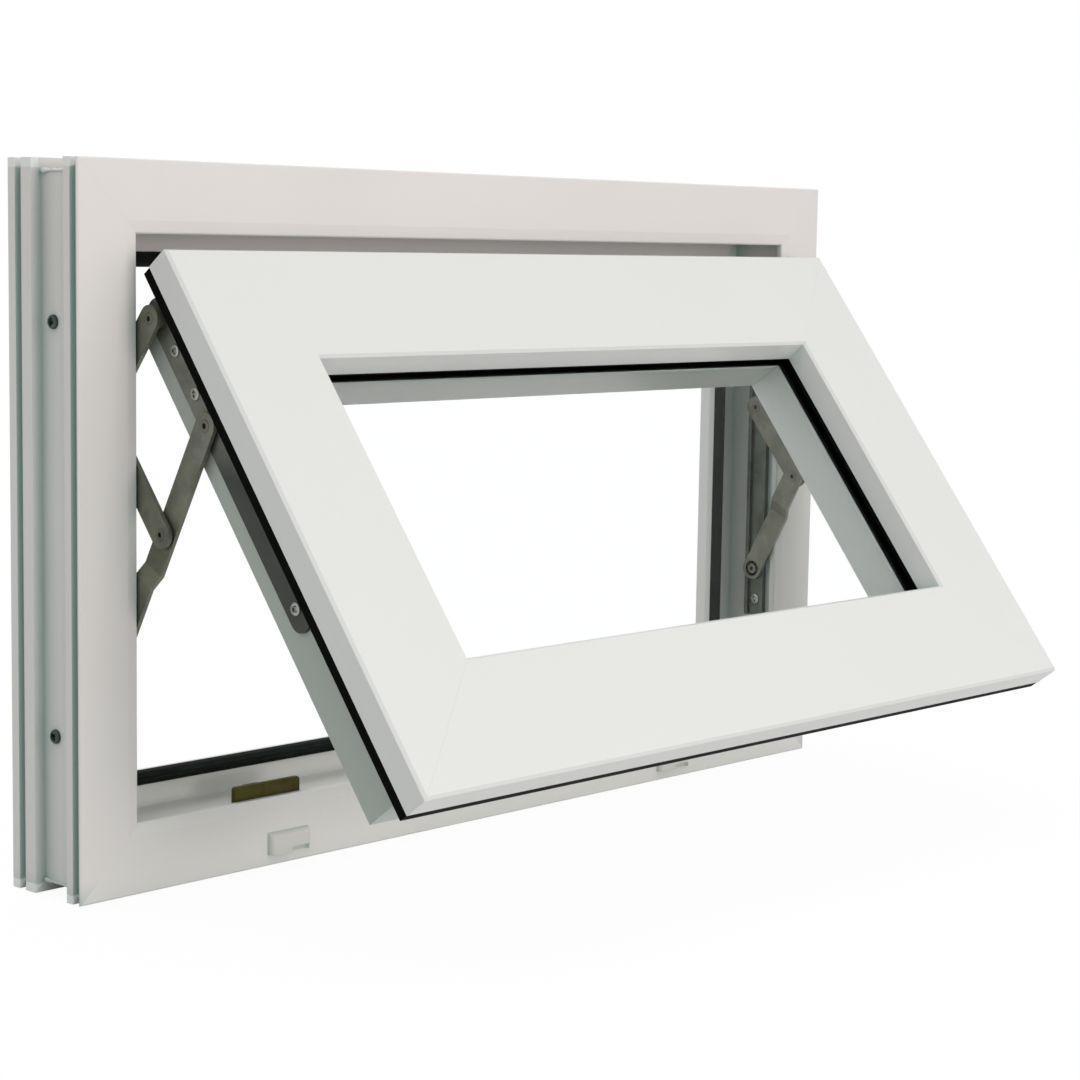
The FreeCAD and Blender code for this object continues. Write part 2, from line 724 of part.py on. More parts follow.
def stay_track(side):
    """Rolled channel on the hardware bed, whose lips hold the slider."""
    label = "stay_track_" + side
    body = new_body(label)
    section = new_sketch(body, "YZ_Plane")
    half = size("track_width") / 2
    inner = half - track_floor
    lip = inner - size("track_lip")
    top = size("track_height")
    roof = slider_back + size("arm_play") / 2
    add_polygon(section, [
        (-half, ZERO), (half, ZERO), (half, top), (lip, top), (lip, roof), (inner, roof),
        (inner, track_floor), (-inner, track_floor), (-inner, roof), (-lip, roof),
        (-lip, top), (-half, top),
    ])
    pad(body, section, track_length)
    fixed = stay["fixed"]
    foot = (fixed[0], fixed[1] - float(size("track_below")))
    return keep_part(label, body, side_frame(side, foot, fixed, ZERO))


def stay_long_arm(side):
    """Arm whose lower end is joggled down to the track, cut from a full-height slot."""
    label = "stay_long_arm_" + side
    rise = arm_face - low_face
    thickness = size("arm_thickness")
    holes = [(ZERO, rivet_hole), (size("arm_lower"), rivet_hole), (whole_arm, rivet_hole)]
    body = link_plate(label, ZERO, whole_arm, size("arm_width"), rise + thickness, holes)
    start = size("joggle_start")
    end = start + size("joggle_length")
    half_slope = math.atan2(float(rise), float(size("joggle_length"))) / 2
    shift = thickness * math.tan(half_slope)
    beyond = size("arm_width")
    side_view = new_sketch(body, "XZ_Plane")
    add_polygon(side_view, [
        (start, -beyond), (whole_arm + beyond, -beyond), (whole_arm + beyond, rise),
        (end, rise), (start, ZERO),
    ])
    add_polygon(side_view, [
        (-beyond, thickness), (start - shift, thickness), (end - shift, rise + thickness),
        (end - shift, rise + beyond), (-beyond, rise + beyond),
    ])
    cut_through(body, side_view)
    return keep_part(label, body, side_frame(side, stay["fixed"], stay["middle"], low_face))


def rivet(label, length):
    pin = doc.addObject("Part::Cylinder", label)
    pin.setExpression("Radius", size("rivet_radius").text)
    pin.setExpression("Height", length.text)
    return pin


def screw_head(label, radius, height):
    """Pan head standing on z = 0."""
    head = doc.addObject("Part::Cylinder", label)
    head.setExpression("Radius", radius.text)
    head.setExpression("Height", height.text)
    return head


def cluster(label, pieces):
    """Several separate solids in one node."""
    group = doc.addObject("Part::Compound", label)
    group.Links = pieces
    return keep_part(label, group, FreeCAD.Placement())


def stay_rivets(side):
    """One pin through each pivot, with a collar where the layers stand apart."""
    arm = size("arm_thickness")
    flush = bar_back - size("arm_play")
    pins = [("fixed", track_floor, low_face + arm, (track_floor, low_face)),
            ("elbow", link_face, arm_back, None),
            ("slider_low", slider_back, link_face + arm, None),
            ("slider_high", slider_back, link_face + arm, None),
            ("top", link_face, flush, (link_face + arm, bar_face)),
            ("middle", arm_face, flush, None)]
    pieces = []
    for pivot, low, high, gap in pins:
        name = "stay_rivet_%s_%s" % (side, pivot)
        piece = rivet(name, high - low)
        if gap is not None:
            collar = doc.addObject("Part::Cylinder", name + "_collar")
            collar.setExpression("Radius", size("rivet_collar").text)
            collar.setExpression("Height", (gap[1] - gap[0]).text)
            collar.setExpression("Placement.Base.z", (gap[0] - low).text)
            joined = doc.addObject("Part::MultiFuse", name + "_joined")
            joined.Shapes = [piece, collar]
            piece = joined
        pieces.append(placed(piece, upright(side, stay[pivot], low)))
    cluster("stay_rivets_" + side, pieces)


def stay_screws(side):
    """Heads on the track and on the jamb side of the sash bar."""
    end_screw = size("track_end_screw")
    pieces = []
    heights = [end_screw - size("track_below"),
               track_length - size("track_below") - end_screw]
    for number, distance in enumerate(heights):
        place = (stay["fixed"][0], stay["fixed"][1] + float(distance))
        head = screw_head("track_screw_%s_%d" % (side, number), size("screw_head"),
                          size("screw_head_height"))
        pieces.append(placed(head, upright(side, place, track_floor)))
    last = size("bar_length") - size("bar_top") - size("bar_end_screw")
    distances = [size("bar_screw_first"), size("bar_screw_second"), last]
    for number, distance in enumerate(distances):
        step = float(distance) / float(bar_spacing)
        place = tuple(a + (b - a) * step for a, b in zip(stay["top"], stay["middle"]))
        head = screw_head("bar_screw_%s_%d" % (side, number), size("screw_head"),
                          size("screw_head_height"))
        layer = bar_face - size("screw_head_height")
        pieces.append(placed(head, upright(side, place, layer)))
    cluster("stay_screws_" + side, pieces)


def build_stay(side):
    stay_track(side)
    stay_long_arm(side)
    slider = link_plate("stay_slider_" + side, ZERO, size("slider_spacing"),
                        size("track_width") - track_floor * 2 - size("arm_play") * 2,
                        slider_back - slider_face, [])
    keep_part("stay_slider_" + side, slider, upright(side, stay["slider_low"], slider_face))
    link = link_plate("stay_link_" + side, ZERO, size("link_length"), size("arm_width"),
                      size("arm_thickness"),
                      [(ZERO, rivet_hole), (size("link_length"), rivet_hole)])
    keep_part("stay_link_" + side, link,
              side_frame(side, stay["elbow"], stay["slider_low"], link_face))
    top_arm = link_plate("stay_top_arm_" + side, ZERO, size("top_arm_length"),
                         size("arm_width"), size("arm_thickness"),
                         [(ZERO, rivet_hole), (size("top_arm_length"), rivet_hole)])
    keep_part("stay_top_arm_" + side, top_arm,
              side_frame(side, stay["slider_high"], stay["top"], link_face))
    end_radius = size("bar_width") / 2
    bar = link_plate("stay_sash_bar_" + side, end_radius - size("bar_top"),
                     size("bar_length") - size("bar_top") - end_radius,
                     size("bar_width"), bar_back - bar_face,
                     [(ZERO, rivet_hole), (bar_spacing, rivet_hole)])
    keep_part("stay_sash_bar_" + side, bar,
              side_frame(side, stay["top"], stay["middle"], bar_face))
    stay_rivets(side)
    stay_screws(side)


for side in ("left", "right"):
    build_stay(side)


# Small parts that stand on the frame

def from_side(side, distance):
    """x of something at a stated distance from the frame's left or right edge."""
    sign = -1.0 if side == "left" else 1.0
    return sign * (float(frame_width) / 2 - float(distance))


# depths of a keep's parts behind the frame's front face
keep_start = size("frame_lip") + size("keep_play")
keep_wall_end = keep_start + size("keep_wall")
keep_hook_start = keep_wall_end + size("keep_hook_gap")


def keep(side):
    """Bevelled front wall, base plate and the hook that holds the locking cam."""
    label = "keep_" + side
    body = new_body("keep_plate_" + side)
    half = size("keep_length") / 2
    bed = size("bed_height")
    top = bed + size("keep_height")
    front_wall = new_sketch(body, "YZ_Plane")
    add_polygon(front_wall, rectangle(keep_start, bed, keep_wall_end, top))
    pad(body, front_wall, size("keep_length"), symmetric=True)
    ends = new_sketch(body, "XZ_Plane")
    bevel = size("keep_bevel")
    for sign in (-1.0, 1.0):
        add_polygon(ends, [(half * sign, top - bevel), ((half + bevel) * sign, top + bevel),
                           ((half - bevel) * sign, top)])
    cut_through(body, ends)
    base = new_sketch(body, "YZ_Plane")
    add_polygon(base, rectangle(keep_wall_end - size("keep_wall") / 2, bed,
                                keep_start + size("keep_depth"), bed + size("keep_base")))
    pad(body, base, size("keep_length") - size("keep_base_inset") * 2, symmetric=True)
    hook = doc.addObject("Part::Box", "keep_hook_" + side)
    hook.setExpression("Length", size("keep_hook_length").text)
    hook.setExpression("Width", size("keep_wall").text)
    hook.setExpression("Height", size("keep_hook_height").text)
    near_end = -half + size("keep_hook_end")
    far_start = half - size("keep_hook_end") - size("keep_hook_length")
    hook.setExpression("Placement.Base.x", (near_end if side == "left" else far_start).text)
    hook.setExpression("Placement.Base.y", keep_hook_start.text)
    hook.setExpression("Placement.Base.z", bed.text)
    joined = doc.addObject("Part::MultiFuse", label)
    joined.Shapes = [body, hook]
    joined.Refine = True
    spot = FreeCAD.Vector(from_side(side, size("keep_offset")), FRONT, 0)
    return keep_part(label, joined, FreeCAD.Placement(spot, turn((0, 1, 0), 0)))


def drain_cap(side):
    """Moulded hood with rounded corners, closed at the top and open underneath."""
    label = "drain_cap_" + side
    low = size("cap_bottom")
    high = low + size("cap_height")
    half = size("cap_length") / 2
    hood = doc.addObject("Part::Box", label + "_hood")
    hood.setExpression("Length", size("cap_length").text)
    hood.setExpression("Width", size("cap_reach").text)
    hood.setExpression("Height", size("cap_height").text)
    hood.setExpression("Placement.Base.x", (-half).text)
    hood.setExpression("Placement.Base.y", (-size("cap_reach")).text)
    hood.setExpression("Placement.Base.z", low.text)
    doc.recompute()
    reach = float(size("cap_reach"))
    front = []
    for index, edge in enumerate(hood.Shape.Edges, start=1):
        middle = edge.CenterOfMass
        on_front = abs(middle.y + reach) < SAME
        if on_front and middle.z > float(low) + SAME:
            front.append((index, float(size("cap_round")), float(size("cap_round"))))
    rounded = doc.addObject("Part::Fillet", label + "_rounded")
    rounded.Base = hood
    rounded.Edges = front
    skin = size("cap_wall")
    hollow = doc.addObject("Part::Box", label + "_hollow")
    hollow.setExpression("Length", (size("cap_length") - skin * 2).text)
    hollow.setExpression("Width", (size("cap_reach") - skin * 2).text)
    hollow.setExpression("Height", (size("cap_height") - skin * 2).text)
    hollow.setExpression("Placement.Base.x", (skin - half).text)
    hollow.setExpression("Placement.Base.y", (skin - size("cap_reach")).text)
    hollow.setExpression("Placement.Base.z", (low - skin).text)
    cap = doc.addObject("Part::Cut", label + "_cut")
    cap.Base = rounded
    cap.Tool = hollow
    spot = FreeCAD.Vector(from_side(side, size("cap_offset")), FRONT, 0)
    return keep_part(label, cap, FreeCAD.Placement(spot, turn((0, 1, 0), 0)))


def jamb_screws(side):
    """Screw heads in the outer channel of a jamb."""
    sign = 1.0 if side == "left" else -1.0
    depth = channel_middle + size("jamb_screw_offset")
    pieces = []
    for number, height in enumerate((size("jamb_screw_low"), size("jamb_screw_high"))):
        head = screw_head("jamb_screw_%s_%d" % (side, number), size("jamb_screw_radius"),
                          size("jamb_screw_head"))
        x = sign * (-float(frame_width) / 2 + float(size("channel_depth")))
        spot = FreeCAD.Vector(x, FRONT + float(depth), float(height))
        pieces.append(placed(head, FreeCAD.Placement(spot, turn((0, 1, 0), -90 * sign))))
    cluster("jamb_screws_" + side, pieces)


for side in ("left", "right"):
    keep(side)
    drain_cap(side)
    jamb_screws(side)


# Lengths along X with a constant section in the YZ plane

def run_along_x(label, outline, length, placement):
    body = new_body(label)
    section = new_sketch(body, "YZ_Plane")
    add_polygon(section, outline)
    pad(body, section, length, symmetric=True)
    return keep_part(label, body, placement)


# Locking strip and cams under the sash's bottom rail

lock_length = sash_width - size("lock_end_gap") * 2
# a locked cam stands behind its keep's hook
cam_depth = (standoff + keep_hook_start + size("keep_wall") + size("cam_play")
             + size("cam_radius"))
cam_offset = (size("keep_offset") - size("keep_length") / 2 + size("keep_hook_end")
              + size("keep_hook_length") / 2)


def lock_outline():
    half = size("lock_width") / 2
    under = body_inset - size("lock_thickness")
    return rectangle(cam_depth - half, under, cam_depth + half, body_inset)


run_along_x("lock_strip", lock_outline(), lock_length, sash_place)
cams = []
for side in ("left", "right"):
    cam = doc.addObject("Part::Cylinder", "lock_cam_" + side)
    cam.setExpression("Radius", size("cam_radius").text)
    cam.setExpression("Height", size("cam_height").text)
    low = float(body_inset - size("lock_thickness") - size("cam_height"))
    spot = FreeCAD.Vector(from_side(side, cam_offset), float(cam_depth), low)
    cams.append(placed(cam, FreeCAD.Placement(spot, turn((0, 1, 0), 0))))
cam_group = cluster("lock_cams", cams)
cam_group.Placement = sash_place


# Handle on the room side of the bottom rail

def bevelled(label, base, height):
    """The base with the edges at one height along local z bevelled."""
    doc.recompute()
    bevel = float(size("handle_bevel"))
    edges = []
    for index, edge in enumerate(base.Shape.Edges, start=1):
        if all(abs(corner.Z - float(height)) < SAME for corner in edge.Vertexes):
            edges.append((index, bevel, bevel))
    feature = doc.addObject("Part::Chamfer", label)
    feature.Base = base
    feature.Edges = edges
    return feature


lay_flat = FreeCAD.Rotation(FreeCAD.Vector(1, 0, 0), FreeCAD.Vector(0, 0, -1),
                            FreeCAD.Vector(0, 1, 0), "ZXY")


def on_handle_axis(layer):
    """Local x along the rail and local z towards the room, at a depth in the sash."""
    spot = FreeCAD.Vector(0, float(layer), float(size("handle_height")))
    return sash_place.multiply(FreeCAD.Placement(spot, lay_flat))


rose_half = size("rose_length") / 2 - size("rose_width") / 2
rose = link_plate("handle_rose_plate", -rose_half, rose_half, size("rose_width"),
                  size("rose_thickness"), [])
rose = bevelled("handle_rose", rose, size("rose_thickness"))
keep_part("handle_rose", rose, on_handle_axis(size("sash_depth")))

neck = doc.addObject("Part::Cylinder", "handle_neck")
neck.setExpression("Radius", size("neck_radius").text)
neck.setExpression("Height", (size("neck_length") + size("lever_thickness") / 2).text)
grip = link_plate("handle_grip_plate", ZERO, size("lever_length") - size("lever_width"),
                  size("lever_width"), size("lever_thickness"), [])
grip = bevelled("handle_grip", grip, size("lever_thickness"))
grip.setExpression("Placement.Base.z", size("neck_length").text)
lever = doc.addObject("Part::MultiFuse", "handle_lever")
lever.Shapes = [neck, grip]
keep_part("handle_lever", lever, on_handle_axis(size("sash_depth") + size("rose_thickness")))


# Check and write

doc.recompute()
faults = []
for item in doc.Objects:
    if "Invalid" in item.State or "Error" in item.State:
        faults.append("%s %s" % (item.Label, item.State))
for item in PARTS:
    if item.Shape.isNull() or not item.Shape.isValid() or not item.Shape.Solids:
        faults.append("%s has no valid solid" % item.Label)
if faults:
    raise RuntimeError("; ".join(faults))

os.makedirs("parts", exist_ok=True)
for item in PARTS:
    item.Shape.exportStep("parts/%s.step" % item.Label)
print("%d parts, sash open %.2f degrees" % (len(PARTS), math.degrees(angle)))
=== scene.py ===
import json
import math

import bmesh
import bpy
import numpy as np
from mathutils import Matrix, Vector, noise


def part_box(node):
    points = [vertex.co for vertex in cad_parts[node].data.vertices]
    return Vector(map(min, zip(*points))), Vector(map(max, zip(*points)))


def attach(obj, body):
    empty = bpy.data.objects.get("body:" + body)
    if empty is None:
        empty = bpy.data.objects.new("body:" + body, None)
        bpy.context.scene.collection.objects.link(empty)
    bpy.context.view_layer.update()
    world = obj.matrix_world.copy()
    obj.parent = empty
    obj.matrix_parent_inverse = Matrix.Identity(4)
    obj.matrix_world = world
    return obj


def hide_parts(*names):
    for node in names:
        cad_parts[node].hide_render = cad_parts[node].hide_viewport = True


# Top hung awning window in white PVC-U. Metres, +Z up, the outdoor side faces -Y.
# The CAD nodes carry the form. This script gives them their materials, puts finished
# screws, rivets, drain hoods and a finished handle where the plain ones are, and adds
# the weld flash of the frame's corners. Colours are linear.

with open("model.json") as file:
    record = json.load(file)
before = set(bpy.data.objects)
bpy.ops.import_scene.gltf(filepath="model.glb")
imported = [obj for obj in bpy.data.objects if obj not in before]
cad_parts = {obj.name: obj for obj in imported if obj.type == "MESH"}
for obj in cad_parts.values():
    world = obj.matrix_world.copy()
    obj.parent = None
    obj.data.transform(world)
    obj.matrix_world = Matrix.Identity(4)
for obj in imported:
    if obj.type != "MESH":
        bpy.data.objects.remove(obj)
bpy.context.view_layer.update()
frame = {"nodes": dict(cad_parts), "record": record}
nodes = frame["nodes"]
MM = 0.001
ALONG = Vector((1.0, 0.0, 0.0))
INTO_ROOM = Vector((0.0, 1.0, 0.0))
UP = Vector((0.0, 0.0, 1.0))


# The sash's own directions

# two points or heights count as one below this distance
TOUCHING = 1e-6


def corner_points(name):
    """Corners of a CAD node's mesh, one in each row."""
    return np.array([vertex.co for vertex in nodes[name].data.vertices])


def sash_directions():
    """Unit vectors along the sash, down its face and towards the room."""
    pane = corner_points("glass_pane")
    # the highest and the foremost corner both lie on the pane's outdoor face
    rise = pane[np.argmax(pane[:, 2])] - pane[np.argmin(pane[:, 1])]
    down = Vector((0.0, -rise[1], -rise[2])).normalized()
    return ALONG, down, Vector((0.0, -down.z, down.y))


SASH_AXES = Matrix(sash_directions())


def extents(name):
    """Lowest and highest place of a node along the sash's three directions."""
    points = corner_points(name) @ np.array(SASH_AXES).T
    return points.min(0), points.max(0)


# Node trees

RAY_SAMPLES = 4


class Tree:
    """Short ways to add and join shader nodes."""

    def __init__(self, owner):
        owner.use_nodes = True
        self.tree = owner.node_tree
        self.tree.nodes.clear()

    def new(self, kind, **settings):
        node = self.tree.nodes.new("ShaderNode" + kind)
        for name, value in settings.items():
            setattr(node, name, value)
        return node

    def put(self, socket, value):
        """Link a socket to an output, or set it to a plain value."""
        if hasattr(value, "is_output"):
            self.tree.links.new(value, socket)
        elif socket.type == "RGBA" and len(value) == 3:
            socket.default_value = (*value, 1.0)
        else:
            socket.default_value = value

    def fill(self, node, **inputs):
        for name, value in inputs.items():
            self.put(node.inputs[name.replace("_", " ")], value)
        return node

    def math(self, operation, *values):
        node = self.new("Math", operation=operation)
        for index, value in enumerate(values):
            self.put(node.inputs[index], value)
        return node.outputs[0]

    def mix(self, factor, a, b):
        """Colour between a and b."""
        node = self.new("Mix", data_type="RGBA")
        sockets = {socket.identifier: socket for socket in node.inputs}
        self.put(sockets["Factor_Float"], factor)
        self.put(sockets["A_Color"], a)
        self.put(sockets["B_Color"], b)
        return next(s for s in node.outputs if s.identifier == "Result_Color")

    def noise(self, scale, detail=3.0, stretch=(1.0, 1.0, 1.0)):
        """Noise over the object's own coordinates, one number from 0 to 1."""
        place = self.new("TexCoord").outputs["Object"]
        mapping = self.fill(self.new("Mapping"), Vector=place, Scale=stretch)
        node = self.fill(self.new("TexNoise"), Vector=mapping.outputs[0], Scale=scale,
                         Detail=detail)
        return node.outputs["Fac"]

    def ramp(self, factor, low, high):
        """Number that goes from 0 at low to 1 at high."""
        node = self.fill(self.new("MapRange"), Value=factor, From_Min=low, From_Max=high)
        return node.outputs["Result"]

    def along(self, direction):
        """Distance of the point along a direction."""
        place = self.new("TexCoord").outputs["Object"]
        product = self.new("VectorMath", operation="DOT_PRODUCT")
        self.put(product.inputs[0], place)
        self.put(product.inputs[1], tuple(direction))
        return product.outputs["Value"]

    def corners(self, reach):
        """1 in the open, 0 deep in a corner."""
        node = self.fill(self.new("AmbientOcclusion", samples=RAY_SAMPLES), Distance=reach)
        return node.outputs["AO"]

    def relief(self, height, strength, distance, radius=0.0):
        """Normal with a fine relief, over edges softened to a radius."""
        bump = self.fill(self.new("Bump"), Strength=strength, Distance=distance,
                         Height=height)
        if radius:
            edge = self.fill(self.new("Bevel", samples=RAY_SAMPLES), Radius=radius)
            self.put(bump.inputs["Normal"], edge.outputs[0])
        return bump.outputs[0]

    def finish(self, shader):
        """Make a shader the surface of the material."""
        output = self.new("OutputMaterial")
        self.tree.links.new(shader, output.inputs["Surface"])


def new_material(name):
    """Empty material with its node tree."""
    material = bpy.data.materials.new(name)
    return material, Tree(material)


# White PVC-U. A noise is given by its scale and detail, a range by where it starts and
# ends to show.

# clouding, dark specks, changes of gloss, and the lines of drawing with their relief as
# strength, depth and radius of the softened edges
CLOUD_NOISE, CLOUD_RANGE = (7.0, 1.5), (0.3, 0.7)
SPECK_NOISE, SPECK_RANGE = (420.0, 2.0), (0.68, 0.8)
SPECK_SHARE, SPECK_SHADE = 0.06, 0.7
GLOSS_NOISE, GLOSS_SPREAD = (35.0, 3.0), 0.02
DRAW_NOISE, DRAW_STRETCH = (90.0, 2.0), (0.25, 1.0, 1.0)
DRAW_RELIEF = (0.04, 0.2 * MM, 0.2 * MM)
PVC_SPECULAR = 0.35
# direction, places and dimmer colour of a painted light gradient: the frame is painted
# lighter towards its top, where more light falls, and the sill lighter from its left end
# inwards under the sash, against the sash's shadow
FRAME_TOP_LIGHT_GRADIENT = (UP, 0.28, 0.36, (0.80, 0.785, 0.775))
SILL_UNDER_SASH_LIGHT_GRADIENT = (ALONG, -0.28, -0.17, (0.73, 0.72, 0.705))
# painted shade: recesses are painted a darker, greener grey where less light reaches them
CORNER_SHADE_REACH, CORNER_SHADE_RANGE = 14.0 * MM, (0.96, 0.3)
CORNER_SHADE_COLOUR = (0.30, 0.47, 0.43)
# cleaned welds whiten the frame's outer corners as far in as the channel's floor
FRAME_LOW, FRAME_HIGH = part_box("frame_head")[0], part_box("frame_head")[1]
FRAME_LOW.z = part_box("frame_sill")[0].z
FRAME_MIDDLE = (FRAME_LOW + FRAME_HIGH) / 2
FRAME_HALF = (FRAME_HIGH.x - FRAME_MIDDLE.x, FRAME_HIGH.z - FRAME_MIDDLE.z)
WELD_REACH, WELD_EDGE = 6.0 * MM, 1.0 * MM
WELD_NOISE, WELD_RAGGED = (260.0, 3.0), 3.0 * MM
WELD_BEHIND = (FRAME_LOW.y + 2.0 * MM, FRAME_LOW.y + 3.0 * MM)
WELD_COLOUR = (0.93, 0.93, 0.915)
# painted shade on the sash behind its gasket, where it closes into the frame's recess
SASH_INWARD = SASH_AXES[2]
INNER_SHADE_PLACE, INNER_SHADE_EDGE = extents("sash_gasket")[0][2], 0.5 * MM
INNER_SHADE_COLOUR = (0.475, 0.51, 0.475)


def pvc(name, colour, shade, roughness=0.32, recess=0.3, painted_light_part=None, shaded_inside=False,
        welded=False):
    """Extruded white PVC-U: satin gloss with faint clouding, specks and draw lines.

    Recesses get painted shade, a darker and greener grey. A painted light part gives the
    direction, the two places and the dimmer colour of a painted change from dimmer to
    lighter. A profile shaded inside gets painted shade behind its gasket, where it closes
    into the frame, and a welded one is whiter at the frame's corners.
    """
    material, tree = new_material(name)
    # painted light: the colour dims towards one end of a gradient
    if painted_light_part:
        direction, start, end, dimmer_colour = painted_light_part
        colour = tree.mix(tree.ramp(tree.along(direction), start, end), dimmer_colour, colour)
    body = tree.mix(tree.ramp(tree.noise(*CLOUD_NOISE), *CLOUD_RANGE), colour, shade)
    # painted shade in recesses, by the share that recess gives
    hidden = tree.ramp(tree.corners(CORNER_SHADE_REACH), *CORNER_SHADE_RANGE)
    body = tree.mix(tree.math("MULTIPLY", hidden, recess), body, CORNER_SHADE_COLOUR)
    if welded:
        towards = [tree.math("ABSOLUTE", tree.math("SUBTRACT", tree.along(line), middle))
                   for line, middle in ((ALONG, FRAME_MIDDLE.x), (UP, FRAME_MIDDLE.z))]
        margins = [tree.math("SUBTRACT", half, place)
                   for half, place in zip(FRAME_HALF, towards)]
        margin = tree.math("MAXIMUM", *margins)
        ragged = tree.math("MULTIPLY_ADD", tree.noise(*WELD_NOISE), WELD_RAGGED, margin)
        near = tree.ramp(ragged, WELD_REACH + WELD_EDGE, WELD_REACH)
        behind = tree.ramp(tree.along(INTO_ROOM), *WELD_BEHIND)
        body = tree.mix(tree.math("MULTIPLY", near, behind), body, WELD_COLOUR)
    # painted shade behind the gasket
    if shaded_inside:
        inside = tree.ramp(tree.along(SASH_INWARD), INNER_SHADE_PLACE,
                           INNER_SHADE_PLACE + INNER_SHADE_EDGE)
        body = tree.mix(inside, body, INNER_SHADE_COLOUR)
    specks = tree.ramp(tree.noise(*SPECK_NOISE), *SPECK_RANGE)
    body = tree.mix(tree.math("MULTIPLY", specks, SPECK_SHARE), body,
                    [part * SPECK_SHADE for part in shade])
    gloss = tree.math("MULTIPLY_ADD", tree.noise(*GLOSS_NOISE), GLOSS_SPREAD,
                      roughness - GLOSS_SPREAD / 2)
    lines = tree.noise(*DRAW_NOISE, stretch=DRAW_STRETCH)
    shader = tree.fill(tree.new("BsdfPrincipled"), Base_Color=body, Roughness=gloss,
                       Normal=tree.relief(lines, *DRAW_RELIEF),
                       Specular_IOR_Level=PVC_SPECULAR)
    tree.finish(shader.outputs[0])
    return material


# Black rubber

BLOOM_NOISE, BLOOM_RANGE = (60.0, 4.0), (0.4, 0.85)
GRAIN_NOISE, GRAIN_RELIEF = (900.0, 2.0), (0.3, 0.1 * MM, 0.4 * MM)
RUBBER_ROUGHNESS, BLOOM_ROUGHNESS = 0.55, 0.15
RUBBER_SPECULAR = 0.02


def rubber(name, skin_colour, bloom_colour):
    """Black weather seal with a dull skin and a greyish bloom."""
    material, tree = new_material(name)
    bloom = tree.ramp(tree.noise(*BLOOM_NOISE), *BLOOM_RANGE)
    colour = tree.mix(bloom, skin_colour, bloom_colour)
    gloss = tree.math("MULTIPLY_ADD", bloom, BLOOM_ROUGHNESS, RUBBER_ROUGHNESS)
    shader = tree.fill(tree.new("BsdfPrincipled"), Base_Color=colour, Roughness=gloss,
                       Normal=tree.relief(tree.noise(*GRAIN_NOISE), *GRAIN_RELIEF),
                       Specular_IOR_Level=RUBBER_SPECULAR)
    tree.finish(shader.outputs[0])
    return material


# Metals

STAIN_NOISE, STAIN_RANGE = (55.0, 5.0), (0.35, 0.7)
SCRATCH_NOISE, SCRATCH_STRETCH = (700.0, 3.0), (1.0, 0.3, 0.3)
SCRATCH_RANGE, SCRATCH_SHARE, SCRATCH_SHINE = (0.5, 0.75), 0.3, 1.5
SCRATCH_RELIEF = (0.18, 0.05 * MM, 0.35 * MM)
# scratches add up to the first to a roughness that starts lower by the second
SCRATCH_ROUGHNESS, SMOOTHER = 0.22, 0.1
# dirt and painted shade: corners darken where parts meet and less light reaches
CORNER_DIRT_AND_SHADE_REACH, CORNER_DIRT_AND_SHADE_RANGE, CORNER_DIRT_AND_SHADE_COLOUR = 3.0 * MM, (0.95, 0.35), (0.006, 0.006, 0.005)
# painted shade on the lower part of a bar: its share and colour
BAR_SHADE_SHARE, BAR_SHADE_COLOUR = 0.88, (0.018, 0.022, 0.019)


def metal(name, colour, stain, roughness=0.42, metallic=0.5, dirt_and_shade=0.5, specular=0.5,
          shade_heights=None):
    """Stamped metal: drawn scratches, dull stains, and dirt with painted shade in corners.

    The shade heights are two heights between which painted shade fades out upwards.
    """
    material, tree = new_material(name)
    body = tree.mix(tree.ramp(tree.noise(*STAIN_NOISE), *STAIN_RANGE), colour, stain)
    scratches = tree.noise(*SCRATCH_NOISE, stretch=SCRATCH_STRETCH)
    bright = tree.math("MULTIPLY", tree.ramp(scratches, *SCRATCH_RANGE), SCRATCH_SHARE)
    body = tree.mix(bright, body, [min(1.0, part * SCRATCH_SHINE) for part in colour])
    # dirt and painted shade in corners
    hidden = tree.ramp(tree.corners(CORNER_DIRT_AND_SHADE_REACH), *CORNER_DIRT_AND_SHADE_RANGE)
    body = tree.mix(tree.math("MULTIPLY", hidden, dirt_and_shade), body, CORNER_DIRT_AND_SHADE_COLOUR)
    # painted shade, darker towards the bottom
    if shade_heights:
        lit_height, shaded_height = shade_heights[::-1]
        share = tree.math("MULTIPLY", tree.ramp(tree.along(UP), lit_height, shaded_height), BAR_SHADE_SHARE)
        body = tree.mix(share, body, BAR_SHADE_COLOUR)
    gloss = tree.math("MULTIPLY_ADD", scratches, SCRATCH_ROUGHNESS, roughness - SMOOTHER)
    shader = tree.fill(tree.new("BsdfPrincipled"), Base_Color=body, Roughness=gloss,
                       Metallic=metallic, Specular_IOR_Level=specular,
                       Normal=tree.relief(scratches, *SCRATCH_RELIEF))
    tree.finish(shader.outputs[0])
    return material


# Glass

WAVE_NOISE, WAVE_RANGE, WAVE_RELIEF = (9.0, 4.0), (0.45, 0.9), (0.01, 0.02 * MM)
GLASS_COLOUR = (0.995, 1.0, 0.998)
# low, so that the pane shows as clear as in the photograph
GLASS_IOR = 1.12


def clear_glass(name):
    """Float glass with a trace of green and the faintest waviness."""
    material, tree = new_material(name)
    waves = tree.ramp(tree.noise(*WAVE_NOISE), *WAVE_RANGE)
    shader = tree.fill(tree.new("BsdfPrincipled"), Base_Color=GLASS_COLOUR,
                       Roughness=0.0, Transmission_Weight=1.0, IOR=GLASS_IOR,
                       Normal=tree.relief(waves, *WAVE_RELIEF))
    tree.finish(shader.outputs[0])
    return material


# Materials of the slots

